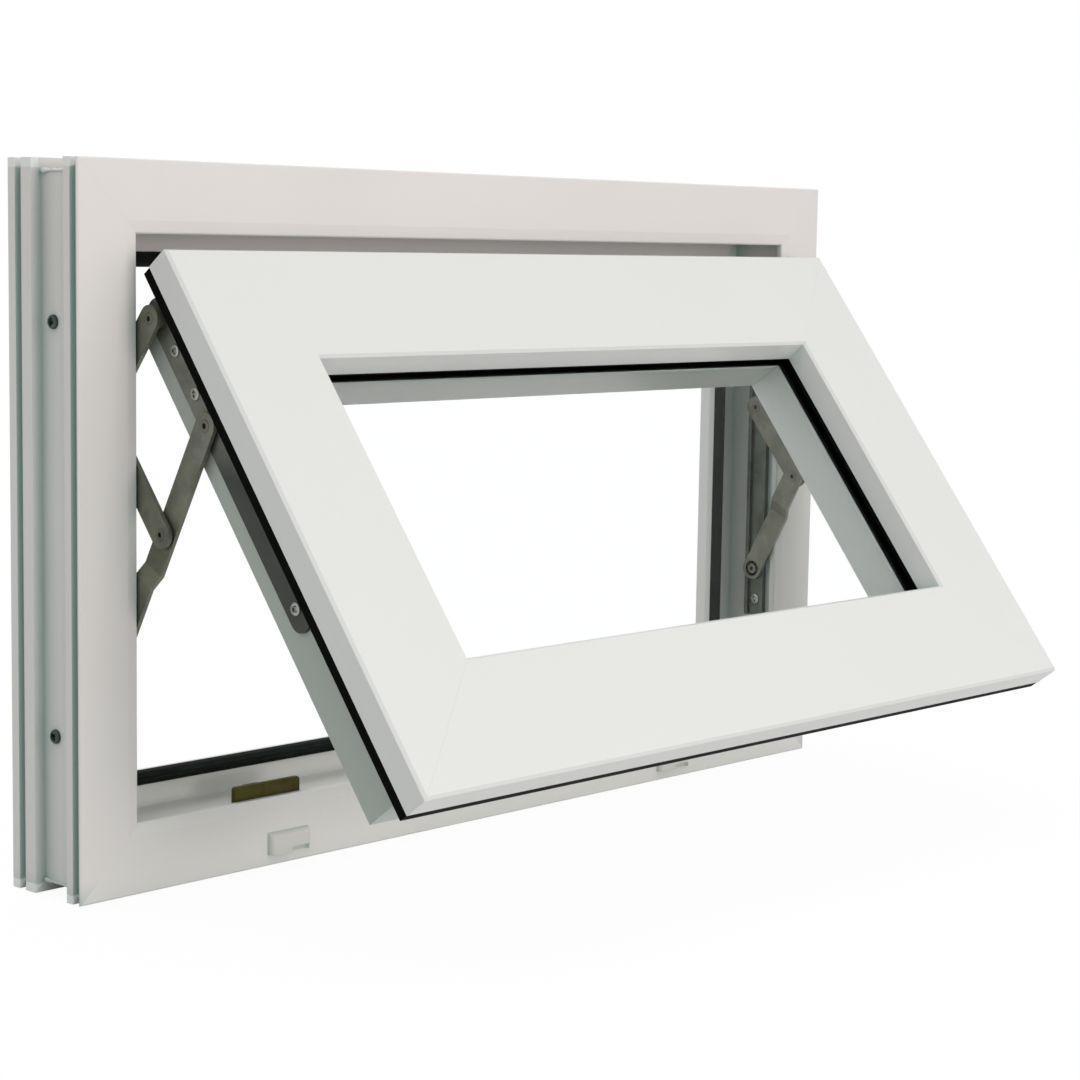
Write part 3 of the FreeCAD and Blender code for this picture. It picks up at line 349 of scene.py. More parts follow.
FRAME_WHITE = {"colour": (0.84, 0.785, 0.775), "shade": (0.79, 0.755, 0.745)}
# each PVC below has painted shade in its recesses, by the share that recess gives
MATERIALS = {
    # the frame is painted lighter towards its top
    "frame_white": pvc("frame_pvc", **FRAME_WHITE, recess=0.8, painted_light_part=FRAME_TOP_LIGHT_GRADIENT,
                       welded=True),
    # the sash has painted shade in its recesses and behind its gasket
    "sash_white": pvc("sash_pvc", (0.80, 0.795, 0.79), (0.79, 0.785, 0.78),
                      roughness=0.28, recess=0.5, shaded_inside=True),
    "bead_white": pvc("bead_pvc", (0.68, 0.70, 0.68), (0.64, 0.66, 0.645)),
    "cap_white": pvc("cap_plastic", (0.75, 0.735, 0.70), (0.73, 0.715, 0.68),
                     roughness=0.4, recess=0.6),
    "handle_white": pvc("handle_coating", (0.80, 0.795, 0.78), (0.77, 0.765, 0.755),
                        roughness=0.25),
    "gasket": rubber("seal_rubber", (0.0016, 0.0016, 0.0018), (0.006, 0.0064, 0.006)),
    "glass": clear_glass("window_glass"),
    "stay_steel": metal("stay_steel", (0.21, 0.215, 0.165), (0.12, 0.125, 0.09),
                        roughness=0.45, metallic=0.35),
    "track_steel": metal("track_steel", (0.11, 0.13, 0.10), (0.05, 0.06, 0.045)),
    "rivet_steel": metal("rivet_steel", (0.175, 0.17, 0.135), (0.10, 0.10, 0.075),
                         roughness=0.38),
    # the screws get strong dirt and painted shade in their corners
    "screw_steel": metal("screw_steel", (0.44, 0.45, 0.41), (0.28, 0.29, 0.26),
                         roughness=0.3, metallic=0.6, dirt_and_shade=0.95),
    "frame_screws": metal("frame_screw_steel", (0.085, 0.105, 0.105), (0.04, 0.05, 0.05)),
    "keep_brass": metal("keep_brass", (0.085, 0.076, 0.018), (0.055, 0.048, 0.012),
                        roughness=0.6, metallic=0.2, specular=0.1),
    "lock_steel": metal("lock_steel", (0.45, 0.45, 0.43), (0.34, 0.34, 0.32),
                        roughness=0.35),
    "lock_cams": metal("cam_steel", (0.50, 0.50, 0.47), (0.38, 0.38, 0.35),
                       roughness=0.3),
}

# Nodes whose finish differs from their slot's: the head and the sill have little painted
# shade in their recesses, the sill is painted lighter under the sash, the top bead is
# painted darker with shade and the right one lighter with light, the bars have painted
# shade on their lower part, and dust settles on the frame's seal.

BAR_BOTTOM, BAR_TOP = (corner.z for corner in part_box("stay_sash_bar_left"))
# heights of the bar, as shares of its own, between which painted shade below gives way
# to lit steel above
BAR_SHADE_SHARES = (0.45, 0.62)
BAR_SHADE_HEIGHTS = tuple(BAR_BOTTOM + share * (BAR_TOP - BAR_BOTTOM) for share in BAR_SHADE_SHARES)
# the bars get painted shade on their lower part
bar_steel = metal("bar_steel", (0.21, 0.22, 0.185), (0.13, 0.14, 0.115), metallic=0.4,
                  shade_heights=BAR_SHADE_HEIGHTS)
OWN_FINISH = {
    "frame_head": pvc("head_pvc", **FRAME_WHITE, recess=0.1, welded=True),
    # the sill is painted lighter under the sash, against its shadow
    "frame_sill": pvc("sill_pvc", (0.86, 0.84, 0.82), (0.83, 0.82, 0.80),
                      roughness=0.34, recess=0.1, painted_light_part=SILL_UNDER_SASH_LIGHT_GRADIENT),
    # the top bead is painted darker with shade, the right one lighter with light
    "glazing_bead_top": pvc("top_bead_painted_shade", (0.53, 0.55, 0.52), (0.50, 0.52, 0.49)),
    "glazing_bead_right": pvc("right_bead_painted_light", (0.82, 0.84, 0.82), (0.80, 0.82, 0.80)),
    "stay_sash_bar_left": bar_steel,
    "stay_sash_bar_right": bar_steel,
    "frame_gasket": rubber("dusty_rubber", (0.012, 0.015, 0.013), (0.026, 0.03, 0.027)),
}

slots = {entry["node"]: entry["material_slot"]
         for entry in frame["record"]["subparts"]}
for name, node in nodes.items():
    node.data.materials.clear()
    node.data.materials.append(OWN_FINISH.get(name) or MATERIALS[slots[name]])


# Camera at the photograph's place, fitted to the frame and sash corners

CAMERA_PLACE = Vector((-1.1258, -1.1292, 0.3577))
CAMERA_YAW = math.radians(47.032)
CAMERA_PITCH = math.radians(-6.646)
CAMERA_ROLL = math.radians(0.930)
CAMERA_LENS = 84.27
SENSOR_WIDTH = 36.0


def add_camera():
    """Camera from its place, its three turns and its lens."""
    forward = Vector((math.sin(CAMERA_YAW) * math.cos(CAMERA_PITCH),
                      math.cos(CAMERA_YAW) * math.cos(CAMERA_PITCH),
                      math.sin(CAMERA_PITCH)))
    level = Vector((math.cos(CAMERA_YAW), -math.sin(CAMERA_YAW), 0.0))
    upward = level.cross(forward)
    right = level * math.cos(CAMERA_ROLL) + upward * math.sin(CAMERA_ROLL)
    up = upward * math.cos(CAMERA_ROLL) - level * math.sin(CAMERA_ROLL)
    data = bpy.data.cameras.new("photo_camera")
    data.lens = CAMERA_LENS
    data.sensor_width = SENSOR_WIDTH
    data.sensor_fit = "HORIZONTAL"
    camera = bpy.data.objects.new("photo_camera", data)
    bpy.context.scene.collection.objects.link(camera)
    facing = Matrix((right, up, -forward)).transposed().to_4x4()
    camera.matrix_world = Matrix.Translation(CAMERA_PLACE) @ facing
    bpy.context.scene.camera = camera


# Light, floor and background

AMBIENT = (0.335, 0.36, 0.345)
# soft light from two sides: direction, colour at its middle, how narrow it is
GLOWS = (((0.0, -0.99, 0.14), (1.05, 1.03, 1.0), 4.0),
         ((0.0, 0.5, 0.866), (1.37, 1.42, 1.40), 2.0))
LAMP_COLOUR = (1.0, 0.97, 0.95)
LAMP_TARGET = Vector((0.0, 0.0, 0.2))
# a soft lamp overhead and one low in front: name, place, size, watts
LAMPS = (("key", Vector((-0.6, -2.4, 2.5)), 1.5, 6.0),
         ("front", Vector((-0.3, -2.7, 0.45)), 0.9, 20.0))
FLOOR_DROP = 0.5 * MM
FLOOR_HALF = 30.0
FLOOR_COLOUR = (0.5, 0.5, 0.5)
# where the floor is seen directly, this glow takes that share of it and keeps it white
FLOOR_GLOW = 1.09
FLOOR_GLOW_SHARE = 0.86


def seen_directly(tree):
    """1 for camera, glossy and transmission rays, which are to see plain white."""
    path = tree.new("LightPath").outputs
    once = tree.math("MAXIMUM", path["Is Camera Ray"], path["Is Glossy Ray"])
    seen = tree.math("MAXIMUM", once, path["Is Transmission Ray"])
    lights_something = tree.math("MINIMUM", path["Diffuse Depth"], 1.0)
    return tree.math("SUBTRACT", seen, lights_something)


def add_world():
    """Soft light around the window, and plain white for what is seen directly."""
    world = bpy.data.worlds.new("studio")
    bpy.context.scene.world = world
    tree = Tree(world)
    colour = AMBIENT
    for middle, glow, narrowness in GLOWS:
        facing = tree.new("VectorMath", operation="DOT_PRODUCT")
        tree.put(facing.inputs[0], tree.new("TexCoord").outputs["Generated"])
        tree.put(facing.inputs[1], middle)
        share = tree.math("MAXIMUM", facing.outputs["Value"], 0.0)
        colour = tree.mix(tree.math("POWER", share, narrowness), colour, glow)
    soft = tree.fill(tree.new("Background"), Color=colour, Strength=1.0)
    white = tree.fill(tree.new("Background"), Color=(1.0, 1.0, 1.0), Strength=1.0)
    chosen = tree.new("MixShader")
    tree.put(chosen.inputs[0], seen_directly(tree))
    tree.put(chosen.inputs[1], soft.outputs[0])
    tree.put(chosen.inputs[2], white.outputs[0])
    tree.put(tree.new("OutputWorld").inputs["Surface"], chosen.outputs[0])


def add_floor():
    """Plain pale floor that keeps the window's shadow on white."""
    mesh = bpy.data.meshes.new("floor")
    corners = [(x * FLOOR_HALF, y * FLOOR_HALF, -FLOOR_DROP)
               for x, y in ((-1, -1), (1, -1), (1, 1), (-1, 1))]
    mesh.from_pydata(corners, [], [(0, 1, 2, 3)])
    floor = bpy.data.objects.new("floor", mesh)
    bpy.context.scene.collection.objects.link(floor)
    material, tree = new_material("floor_white")
    matt = tree.fill(tree.new("BsdfDiffuse"), Color=FLOOR_COLOUR)
    glow = tree.fill(tree.new("Emission"), Color=(1.0, 1.0, 1.0), Strength=FLOOR_GLOW)
    share = tree.math("MULTIPLY", seen_directly(tree), FLOOR_GLOW_SHARE)
    chosen = tree.new("MixShader")
    tree.put(chosen.inputs[0], share)
    tree.put(chosen.inputs[1], matt.outputs[0])
    tree.put(chosen.inputs[2], glow.outputs[0])
    tree.finish(chosen.outputs[0])
    mesh.materials.append(material)


def add_lamp(name, place, size, watts):
    """Square lamp that faces the middle of the window."""
    data = bpy.data.lights.new(name, "AREA")
    data.energy = watts
    data.color = LAMP_COLOUR
    data.size = size
    lamp = bpy.data.objects.new(name, data)
    bpy.context.scene.collection.objects.link(lamp)
    facing = (place - LAMP_TARGET).to_track_quat("Z", "Y").to_matrix().to_4x4()
    lamp.matrix_world = Matrix.Translation(place) @ facing


add_camera()
add_world()
add_floor()
for lamp in LAMPS:
    add_lamp(*lamp)
bpy.context.scene.view_settings.view_transform = "Standard"


# Reading the CAD

def solids(name):
    """Corner points of every separate solid in a CAD node, the lowest solid first."""
    shell = bmesh.new()
    shell.from_mesh(nodes[name].data)
    bmesh.ops.remove_doubles(shell, verts=shell.verts, dist=TOUCHING)
    waiting = set(shell.verts)
    found = []
    while waiting:
        group = [waiting.pop()]
        for vertex in group:
            for link in vertex.link_edges:
                other = link.other_vert(vertex)
                if other in waiting:
                    waiting.remove(other)
                    group.append(other)
        found.append(np.array([vertex.co for vertex in group]))
    shell.free()
    return sorted(found, key=lambda points: points[:, 2].min())


# Mesh tools

ROUND_SEGMENTS = 40
# faces that meet at a greater angle keep a sharp edge, in degrees
SHARP = 40.0
SHARP_RIVET = 30.0
SHARP_HANDLE = 50.0
SHARP_FLASH = 70.0


def lathe(shell, outline, centre, axis, segments=ROUND_SEGMENTS):
    """Surface of revolution. The outline gives (radius, place along the axis)."""
    across = axis.orthogonal().normalized()
    other = axis.cross(across)
    rings = []
    for radius, place in outline:
        middle = centre + axis * place
        if radius < TOUCHING:
            rings.append([shell.verts.new(middle)])
            continue
        turns = [2 * math.pi * step / segments for step in range(segments)]
        rings.append([shell.verts.new(middle + across * (radius * math.cos(turn))
                                      + other * (radius * math.sin(turn)))
                      for turn in turns])
    skin(shell, rings)


def skin(shell, rings):
    """Faces between rings of points, of which some may be a single point."""
    for low, high in zip(rings, rings[1:]):
        count = max(len(low), len(high))
        for i in range(count):
            j = (i + 1) % count
            corners = [low[i % len(low)], low[j % len(low)],
                       high[j % len(high)], high[i % len(high)]]
            shell.faces.new(list(dict.fromkeys(corners)))


def into_object(name, shell):
    """Object of a mesh under construction, with its faces turned outwards."""
    bmesh.ops.recalc_face_normals(shell, faces=shell.faces)
    mesh = bpy.data.meshes.new(name)
    shell.to_mesh(mesh)
    shell.free()
    piece = bpy.data.objects.new(name, mesh)
    bpy.context.scene.collection.objects.link(piece)
    return piece


def add_piece(name, shell, slot, stands_for=None, sharp=SHARP):
    """Object in the window's frame with a slot's material, smooth up to an angle."""
    piece = into_object(name, shell)
    piece.data.shade_smooth()
    piece.data.set_sharp_from_angle(angle=math.radians(sharp))
    piece.data.materials.append(MATERIALS[slot])
    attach(piece, "root")
    if stands_for:
        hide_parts(stands_for)
    return piece


def stamp(shell, template, matrix):
    """Add a copy of a mesh at a place."""
    known = len(shell.verts)
    shell.from_mesh(template)
    shell.verts.ensure_lookup_table()
    bmesh.ops.transform(shell, matrix=matrix, verts=shell.verts[known:])


# Screws

# profile of a pan head, as shares of its radius and height
PAN_PROFILE = ((0.0, 0.0), (1.0, 0.0), (1.0, 0.35), (0.95, 0.62), (0.80, 0.87),
               (0.50, 0.98), (0.0, 1.0))
# half length and half width of a recess arm and radius of the round pit in its middle,
# as shares of the head's radius, and how far both narrow downwards
RECESS_SPAN = 0.68
RECESS_WIDTH = 0.24
RECESS_TAPER = 0.6
PIT_RADIUS = 0.46
PIT_TAPER = 0.8
PIT_SEGMENTS = 24
# depth of the recess and top of its cutters, as shares of the head's height
RECESS_DEPTH = 0.92
CUTTER_TOP = 1.2
# turn of the first recess and the step from one screw to the next, in degrees
STAY_SCREW_TURNS = (20.0, 37.0)
JAMB_SCREW_TURNS = (31.0, 48.0)


def blade(radius, height, quarter):
    """One arm of a cross recess, narrowing downwards, as a cutter for a screw head."""
    shell = bmesh.new()
    rings = []
    levels = ((height * (1.0 - RECESS_DEPTH), RECESS_TAPER), (height * CUTTER_TOP, 1.0))
    for z, shrink in levels:
        half_span = radius * RECESS_SPAN * shrink
        half_width = radius * RECESS_WIDTH * shrink
        corners = [(-half_span, -half_width), (half_span, -half_width),
                   (half_span, half_width), (-half_span, half_width)]
        rings.append([shell.verts.new((x, y, z)) for x, y in corners])
    skin(shell, rings)
    for ring in rings:
        shell.faces.new(ring)
    spin = Matrix.Rotation(math.radians(90.0 * quarter), 4, "Z")
    bmesh.ops.transform(shell, matrix=spin, verts=shell.verts)
    return into_object("blade", shell)


def pit(radius, height):
    """Round middle of a cross recess, as a cutter for a screw head."""
    shell = bmesh.new()
    floor, above = height * (1.0 - RECESS_DEPTH), height * CUTTER_TOP
    lathe(shell, [(0.0, floor), (PIT_TAPER * PIT_RADIUS * radius, floor),
                  (PIT_RADIUS * radius, above), (0.0, above)],
          Vector(), UP, PIT_SEGMENTS)
    return into_object("pit", shell)


def pan_head(radius, height):
    """Mesh of a pan head with a cross recess, standing on z = 0."""
    shell = bmesh.new()
    outline = [(across * radius, rise * height) for across, rise in PAN_PROFILE]
    lathe(shell, outline, Vector(), UP)
    head = into_object("head", shell)
    cutters = [blade(radius, height, quarter) for quarter in (0, 1)]
    cutters.append(pit(radius, height))
    for cutter in cutters:
        recess = head.modifiers.new("recess", "BOOLEAN")
        recess.operation = "DIFFERENCE"
        recess.solver = "EXACT"
        recess.object = cutter
    bpy.context.view_layer.update()
    view = bpy.context.evaluated_depsgraph_get()
    mesh = bpy.data.meshes.new_from_object(head.evaluated_get(view))
    for spare in (head, *cutters):
        bpy.data.objects.remove(spare)
    return mesh


def head_matrix(foot, axis, turn_degrees):
    """From a head standing on z = 0 to one standing on its foot along an axis."""
    facing = axis.to_track_quat("Z", "Y").to_matrix().to_4x4()
    spin = Matrix.Rotation(math.radians(turn_degrees), 4, "Z")
    return Matrix.Translation(foot) @ facing @ spin


class Jamb:
    """Layers at one jamb, counted from its hardware bed towards the sash."""

    def __init__(self, side):
        self.inward = 1.0 if side == "left" else -1.0
        low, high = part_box("stay_track_" + side)
        self.bed = low.x if side == "left" else high.x
        self.track_top = high.x - low.x
        bar_low, bar_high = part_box("stay_sash_bar_" + side)
        self.bar_face = self.layer(bar_low.x if side == "left" else bar_high.x)

    def layer(self, x):
        """Height of a place above the hardware bed."""
        return (x - self.bed) * self.inward

    def point(self, layer, y, z):
        """Place in the window's frame."""
        return Vector((self.bed + layer * self.inward, y, z))

    @property
    def axis(self):
        """Direction from the jamb towards the sash."""
        return ALONG * self.inward


def add_stay_screws(side):
    """Track screws face the sash, those of the sash bar face the jamb."""
    jamb = Jamb(side)
    shell = bmesh.new()
    template = None
    for number, points in enumerate(solids("stay_screws_" + side)):
        low, high = points.min(0), points.max(0)
        layers = sorted((jamb.layer(low[0]), jamb.layer(high[0])))
        radius = (high[2] - low[2]) / 2
        height = layers[1] - layers[0]
        if template is None:
            template = pan_head(radius, height)
        on_track = layers[1] < jamb.track_top
        y, z = (low[1] + high[1]) / 2, (low[2] + high[2]) / 2
        foot = jamb.point(layers[0] if on_track else layers[1], y, z)
        axis = jamb.axis if on_track else -jamb.axis
        turn = STAY_SCREW_TURNS[0] + STAY_SCREW_TURNS[1] * number
        stamp(shell, template, head_matrix(foot, axis, turn))
    add_piece("screw_heads_" + side, shell, "screw_steel", "stay_screws_" + side)


def add_jamb_screws(side):
    """Fixing screws in the jamb's outer channel."""
    outward = -ALONG if side == "left" else ALONG
    shell = bmesh.new()
    for number, points in enumerate(solids("jamb_screws_" + side)):
        low, high = points.min(0), points.max(0)
        middle = (low + high) / 2
        foot = Vector((high[0] if side == "left" else low[0], middle[1], middle[2]))
        head = pan_head((high[2] - low[2]) / 2, high[0] - low[0])
        turn = JAMB_SCREW_TURNS[0] + JAMB_SCREW_TURNS[1] * number
        stamp(shell, head, head_matrix(foot, outward, turn))
    add_piece("fixing_screws_" + side, shell, "frame_screws", "jamb_screws_" + side)


# Rivets

HEAD_RADIUS = 3.5 * MM
HEAD_PROUD = 0.45 * MM
DIMPLE_RADIUS = 1.5 * MM
DIMPLE_DEPTH = 2.0 * MM
# profiles of the dimple and of the rim around it, as shares of their radius and height
DIMPLE_PROFILE = ((0.0, 1.0), (0.85, 0.92), (1.0, 0.1), (1.2, 0.0))
RIM_PROFILE = ((0.72, 0.0), (0.92, 0.35))
# what stands out further than this from a pin is its collar
COLLAR_MARGIN = 1.0 * MM


def formed_head(end, outward):
    """Outline of a closed rivet head from its dimple out to the plate it holds."""
    top = end + outward * HEAD_PROUD
    dimple = [(across * DIMPLE_RADIUS, top - outward * fall * DIMPLE_DEPTH)
              for across, fall in DIMPLE_PROFILE]
    rim = [(across * HEAD_RADIUS, top - outward * fall * HEAD_PROUD)
           for across, fall in RIM_PROFILE]
    return dimple + rim + [(HEAD_RADIUS, end)]


def add_rivets(side):
    """Pins whose free ends are closed into dimpled heads, with their collars."""
    jamb = Jamb(side)
    shell = bmesh.new()
    for points in solids("stay_rivets_" + side):
        layers = (points[:, 0] - jamb.bed) * jamb.inward
        low, high = layers.min(), layers.max()
        y, z = [(points[:, k].min() + points[:, k].max()) / 2 for k in (1, 2)]
        reach = np.hypot(points[:, 1] - y, points[:, 2] - z)
        radius = reach[np.abs(layers - low) < TOUCHING].max()
        outline = [(0.0, low), (radius, low)]
        if low > jamb.track_top:
            outline = formed_head(low, -1.0) + [(radius, low)]
        wide = layers[reach > radius + COLLAR_MARGIN]
        if wide.size:
            collar = reach.max()
            outline += [(radius, wide.min()), (collar, wide.min()),
                        (collar, wide.max()), (radius, wide.max())]
        if high < jamb.bar_face:
            outline += [(radius, high)] + formed_head(high, 1.0)[::-1]
        else:
            outline += [(radius, high), (0.0, high)]
        lathe(shell, outline, jamb.point(0.0, y, z), jamb.axis)
    add_piece("rivets_" + side, shell, "rivet_steel", "stay_rivets_" + side, SHARP_RIVET)


# Drain hoods

HOOD_ROUND = 3.6 * MM
HOOD_WALL = 1.1 * MM
HOOD_COLUMNS = 56
HOOD_ROWS = 30
# the drip notch at the hood's lower edge: where it lies and how fast it fades in, as
# shares of the hood's length, its height and its fade, and the share of the bulge left
NOTCH_SPAN = (0.50, 0.93)
NOTCH_ENDS = 0.05
NOTCH_HEIGHT = 3.0 * MM
NOTCH_FADE = 0.8 * MM
NOTCH_FLOOR = 0.3


def quarter_round(distance):
    """Rise of a rounded edge at a distance from it, as a share of its radius."""
    t = min(max(distance / HOOD_ROUND, 0.0), 1.0)
    return math.sqrt(1.0 - (1.0 - t) ** 2)


def step_between(value, low, high):
    """Smooth step from 0 at low to 1 at high."""
    t = min(max((value - low) / (high - low), 0.0), 1.0)
    return t * t * (3.0 - 2.0 * t)


def notch(share, v):
    """How far the hood's skin stands out where the drip notch is cut, 1 elsewhere."""
    start, end = NOTCH_SPAN
    along = (step_between(share, start, start + NOTCH_ENDS)
             * (1.0 - step_between(share, end - NOTCH_ENDS, end)))
    rise = 1.0 - step_between(v, NOTCH_HEIGHT - NOTCH_FADE, NOTCH_HEIGHT)
    return 1.0 - (1.0 - NOTCH_FLOOR) * along * rise


def add_hood(side):
    """Moulded hood: rounded at its ends and top, open underneath."""
    low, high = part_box("drain_cap_" + side)
    length, height, reach = high.x - low.x, high.z - low.z, high.y - low.y
    shell = bmesh.new()
    grid = []
    for row in range(HOOD_ROWS + 1):
        v = (row / HOOD_ROWS) * height
        line = []
        for column in range(HOOD_COLUMNS + 1):
            u = (1.0 - math.cos(math.pi * column / HOOD_COLUMNS)) / 2 * length
            ends = quarter_round(min(u, length - u))
            bulge = reach * ends * quarter_round(height - v) * notch(u / length, v)
            line.append(shell.verts.new((low.x + u, high.y - bulge, low.z + v)))
        grid.append(line)
    for lower, upper in zip(grid, grid[1:]):
        for i in range(HOOD_COLUMNS):
            shell.faces.new((lower[i], lower[i + 1], upper[i + 1], upper[i]))
    hood = into_object("hood_skin", shell)
    thick = hood.modifiers.new("wall", "SOLIDIFY")
    thick.thickness = HOOD_WALL
    thick.offset = -1.0
    bpy.context.view_layer.update()
    view = bpy.context.evaluated_depsgraph_get()
    shell = bmesh.new()
    shell.from_mesh(hood.evaluated_get(view).to_mesh())
    bpy.data.objects.remove(hood)
    for vertex in shell.verts:
        vertex.co.y = min(vertex.co.y, high.y)
    add_piece("drain_hood_" + side, shell, "cap_white", "drain_cap_" + side)


# Handle

def in_sash(shell):
    """Turn a mesh built in the sash's directions into the window's frame."""
    bmesh.ops.transform(shell, matrix=SASH_AXES.transposed().to_4x4(), verts=shell.verts)
    return shell


# steps around each round end of the rose
END_STEPS = 16


def stadium(shell, middle, half_length, half_width, place):
    """Ring of a bar with round ends."""
    ring = []
    straight = half_length - half_width
    for end, start in ((1.0, -90.0), (-1.0, 90.0)):
        for step in range(END_STEPS + 1):
            turn = math.radians(start + 180.0 * step / END_STEPS)
            x = middle[0] + end * straight + half_width * math.cos(turn)
            y = middle[1] + half_width * math.sin(turn)
            ring.append(shell.verts.new((x, y, place)))
    return ring


# rounded rim, height of the seam above the base, depth of the seam, crown of the top
ROSE_ROUND = 3.2 * MM
ROSE_SEAM = 2.2 * MM
SEAM_DEPTH = 0.35 * MM
ROSE_CROWN = 0.4 * MM
ROUND_STEPS = 8


def add_rose():
    """Rose with a snap-on cover: a fine seam above its base and a rounded rim."""
    low, high = extents("handle_rose")
    middle = (low + high) / 2
    half_length, half_width = (high[0] - low[0]) / 2, (high[1] - low[1]) / 2
    shell = bmesh.new()
    seam = low[2] + ROSE_SEAM
    levels = [(low[2], 0.0), (seam, 0.0), (seam, SEAM_DEPTH),
              (seam + SEAM_DEPTH, SEAM_DEPTH), (seam + SEAM_DEPTH, 0.0)]
    for step in range(ROUND_STEPS + 1):
        turn = math.pi / 2 * step / ROUND_STEPS
        levels.append((high[2] - ROSE_CROWN - ROSE_ROUND * (1.0 - math.sin(turn)),
                       ROSE_ROUND * (1.0 - math.cos(turn))))
    levels.append((high[2], 2.0 * ROSE_ROUND))
    rings = [stadium(shell, middle, half_length - inset, half_width - inset, place)
             for place, inset in levels]
    skin(shell, rings)
    shell.faces.new(rings[0])
    shell.faces.new(rings[-1])
    add_piece("rose_cover", in_sash(shell), "handle_white", "handle_rose", SHARP_HANDLE)


LEVER_SECTIONS = 44
LEVER_RING = 32
LEVER_THICKNESS = 9.0 * MM
# the neck: heights of its foot and of its taper, flare below the grip, narrowest width
NECK_FOOT = 1.5 * MM
NECK_TAPER = 3.5 * MM
NECK_FLARE = 2.0 * MM
NECK_WAIST = 0.86
# the grip: width of its waist, length that the waist takes and how sharp it is
LEVER_WAIST = 0.74
WAIST_LENGTH = 0.9
WAIST_SHARPNESS = 1.2
# at its tip the grip has lost this share of its thickness and its middle has moved
# towards the room; that shift and the last point's depth are shares of half its thickness
TIP_THINNER = 0.28
TIP_SHIFT = 0.15
TIP_DEPTH = 0.9
# how bluntly the thickness ends, and the squareness of the sections
BLUNTNESS = 0.6
SQUARENESS = 2.8


def superellipse(turn, half_width, half_height):
    """Point of a section between an ellipse and a rectangle."""
    c, s = math.cos(turn), math.sin(turn)
    return (half_width * math.copysign(abs(c) ** (2 / SQUARENESS), c),
            half_height * math.copysign(abs(s) ** (2 / SQUARENESS), s))


def add_lever():
    """Neck and a grip with a waist, thinner towards its tip."""
    low, high = extents("handle_lever")
    hub = (extents("handle_rose")[0] + extents("handle_rose")[1]) / 2
    points = corner_points("handle_lever") @ np.array(SASH_AXES).T
    base = points[points[:, 2] < low[2] + TOUCHING]
    neck = (base[:, 1].max() - base[:, 1].min()) / 2
    waist = NECK_WAIST * neck
    half_width = (high[1] - low[1]) / 2
    half_thickness = LEVER_THICKNESS / 2
    floor = high[2] - LEVER_THICKNESS
    shell = bmesh.new()
    lathe(shell, [(0.0, low[2]), (neck, low[2]), (neck, low[2] + NECK_FOOT),
                  (waist, low[2] + NECK_TAPER), (waist, floor - NECK_FLARE),
                  (neck, floor), (neck, floor + half_thickness),
                  (0.0, floor + half_thickness)],
          Vector((hub[0], hub[1], 0.0)), UP)
    rings = [[shell.verts.new((low[0], hub[1], high[2] - half_thickness))]]
    length = high[0] - low[0]
    for section in range(1, LEVER_SECTIONS):
        x = (1.0 - math.cos(math.pi * section / LEVER_SECTIONS)) / 2 * length
        share = x / length
        dip = math.sin(math.pi * min(share / WAIST_LENGTH, 1.0)) ** WAIST_SHARPNESS
        end = min(x, length - x) / half_width
        rounding = math.sqrt(1.0 - (1.0 - min(end, 1.0)) ** 2)
        width = half_width * (1.0 - (1.0 - LEVER_WAIST) * dip) * rounding
        thick = half_thickness * (1.0 - TIP_THINNER * share) * rounding ** BLUNTNESS
        centre = min(high[2] - half_thickness * (1.0 - TIP_SHIFT * share), high[2] - thick)
        ring = []
        for step in range(LEVER_RING):
            y, z = superellipse(2 * math.pi * step / LEVER_RING, width, thick)
            ring.append(shell.verts.new((low[0] + x, hub[1] + y, centre + z)))
        rings.append(ring)
    tip = high[2] - half_thickness * TIP_DEPTH
    rings.append([shell.verts.new((high[0], hub[1], tip))])
    skin(shell, rings)
    add_piece("lever_grip", in_sash(shell), "handle_white", "handle_lever", SHARP_HANDLE)


# Weld flash left in the frame's outer channels at its four corners

# the channel's depth, and where it starts and ends behind the frame's face
CHANNEL_DEPTH = 6.5 * MM
CHANNEL_SPAN = (12.4 * MM, 40.8 * MM)
FLASH_RADIUS = 0.75 * MM
FLASH_FLATNESS = 1.3
FLASH_SINK = 0.15 * MM
FLASH_STEPS = 26
FLASH_SIDES = 12
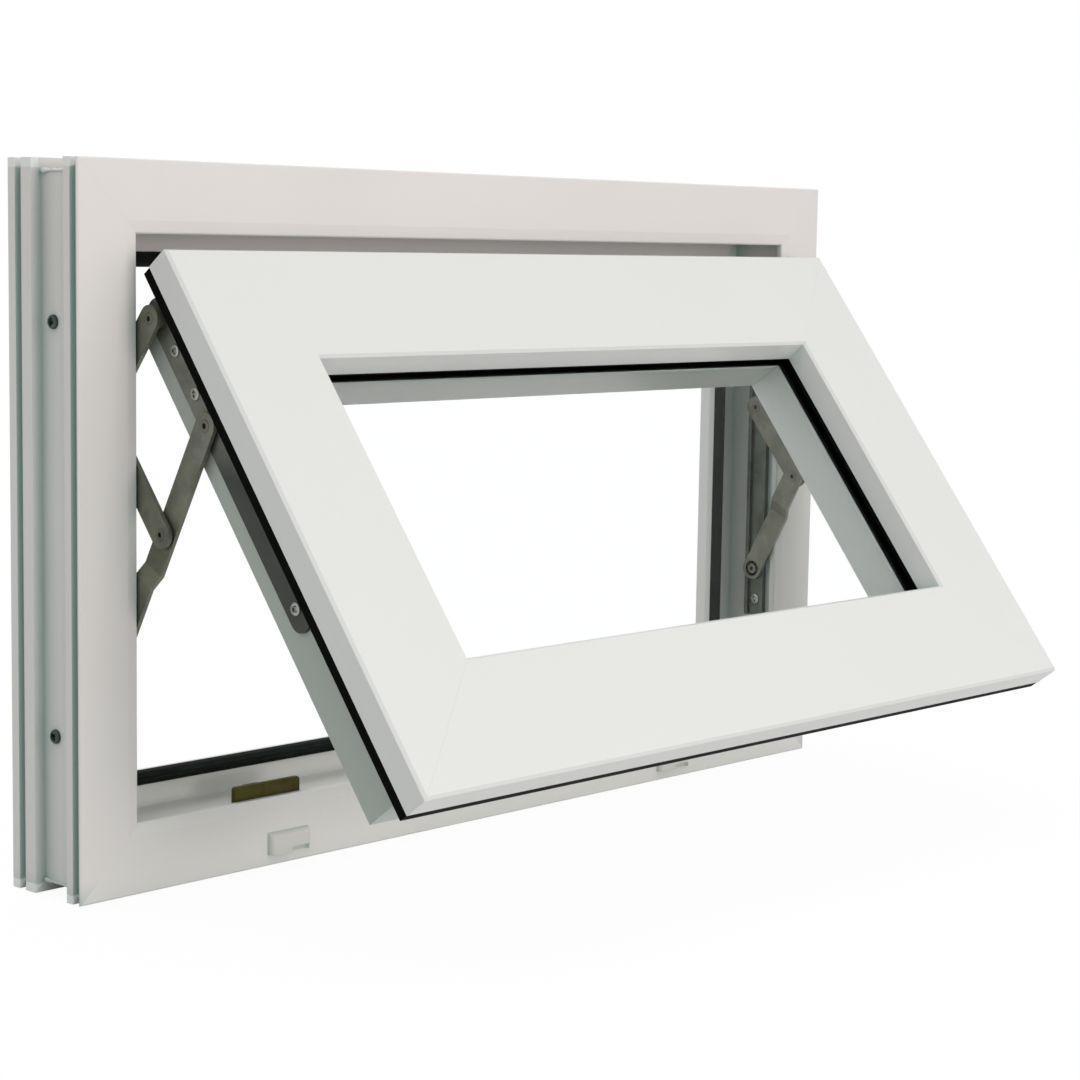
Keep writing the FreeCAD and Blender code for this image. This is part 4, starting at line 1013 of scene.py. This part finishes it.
# how fast the flash wanders along its line and from corner to corner, the share of its
# radius and the sideways reach that this changes
WANDER_RATES = (9.0, 3.7)
WANDER_DEPTH = 0.5
WANDER_SHARE = 0.55
WANDER_REACH = 0.4 * MM
# a lump near the room side: its place, its half width and its height
LUMP_PLACE, LUMP_WIDTH, LUMP_SHARE = 0.88, 0.09, 1.2


def add_weld_flash():
    """Ragged beads in the channels, one along each corner."""
    low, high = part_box("frame_head")
    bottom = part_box("frame_sill")[0].z
    shell = bmesh.new()
    for index, (x_sign, z_sign) in enumerate(((-1, 1), (1, 1), (-1, -1), (1, -1))):
        x = (low.x if x_sign < 0 else high.x) - x_sign * CHANNEL_DEPTH
        z = (bottom if z_sign < 0 else high.z) - z_sign * CHANNEL_DEPTH
        outward = Vector((x_sign, 0.0, z_sign)).normalized()
        side = Vector((z_sign, 0.0, -x_sign)).normalized()
        rings = []
        for step in range(FLASH_STEPS + 1):
            share = step / FLASH_STEPS
            y = low.y + CHANNEL_SPAN[0] + share * (CHANNEL_SPAN[1] - CHANNEL_SPAN[0])
            wander = noise.noise(Vector((share * WANDER_RATES[0], index * WANDER_RATES[1],
                                         WANDER_DEPTH)))
            lump = math.exp(-((share - LUMP_PLACE) / LUMP_WIDTH) ** 2)
            radius = FLASH_RADIUS * (1.0 + WANDER_SHARE * wander + LUMP_SHARE * lump)
            middle = (Vector((x, y, z)) + side * (WANDER_REACH * wander)
                      - outward * FLASH_SINK)
            turns = [2 * math.pi * corner / FLASH_SIDES for corner in range(FLASH_SIDES)]
            rings.append([shell.verts.new(middle + outward * radius * math.cos(turn)
                                          + side * radius * FLASH_FLATNESS * math.sin(turn))
                          for turn in turns])
        skin(shell, rings)
        shell.faces.new(rings[0])
        shell.faces.new(rings[-1])
    add_piece("weld_flash", shell, "frame_white", sharp=SHARP_FLASH)


for side in ("left", "right"):
    add_stay_screws(side)
    add_jamb_screws(side)
    add_rivets(side)
    add_hood(side)
add_rose()
add_lever()
add_weld_flash()
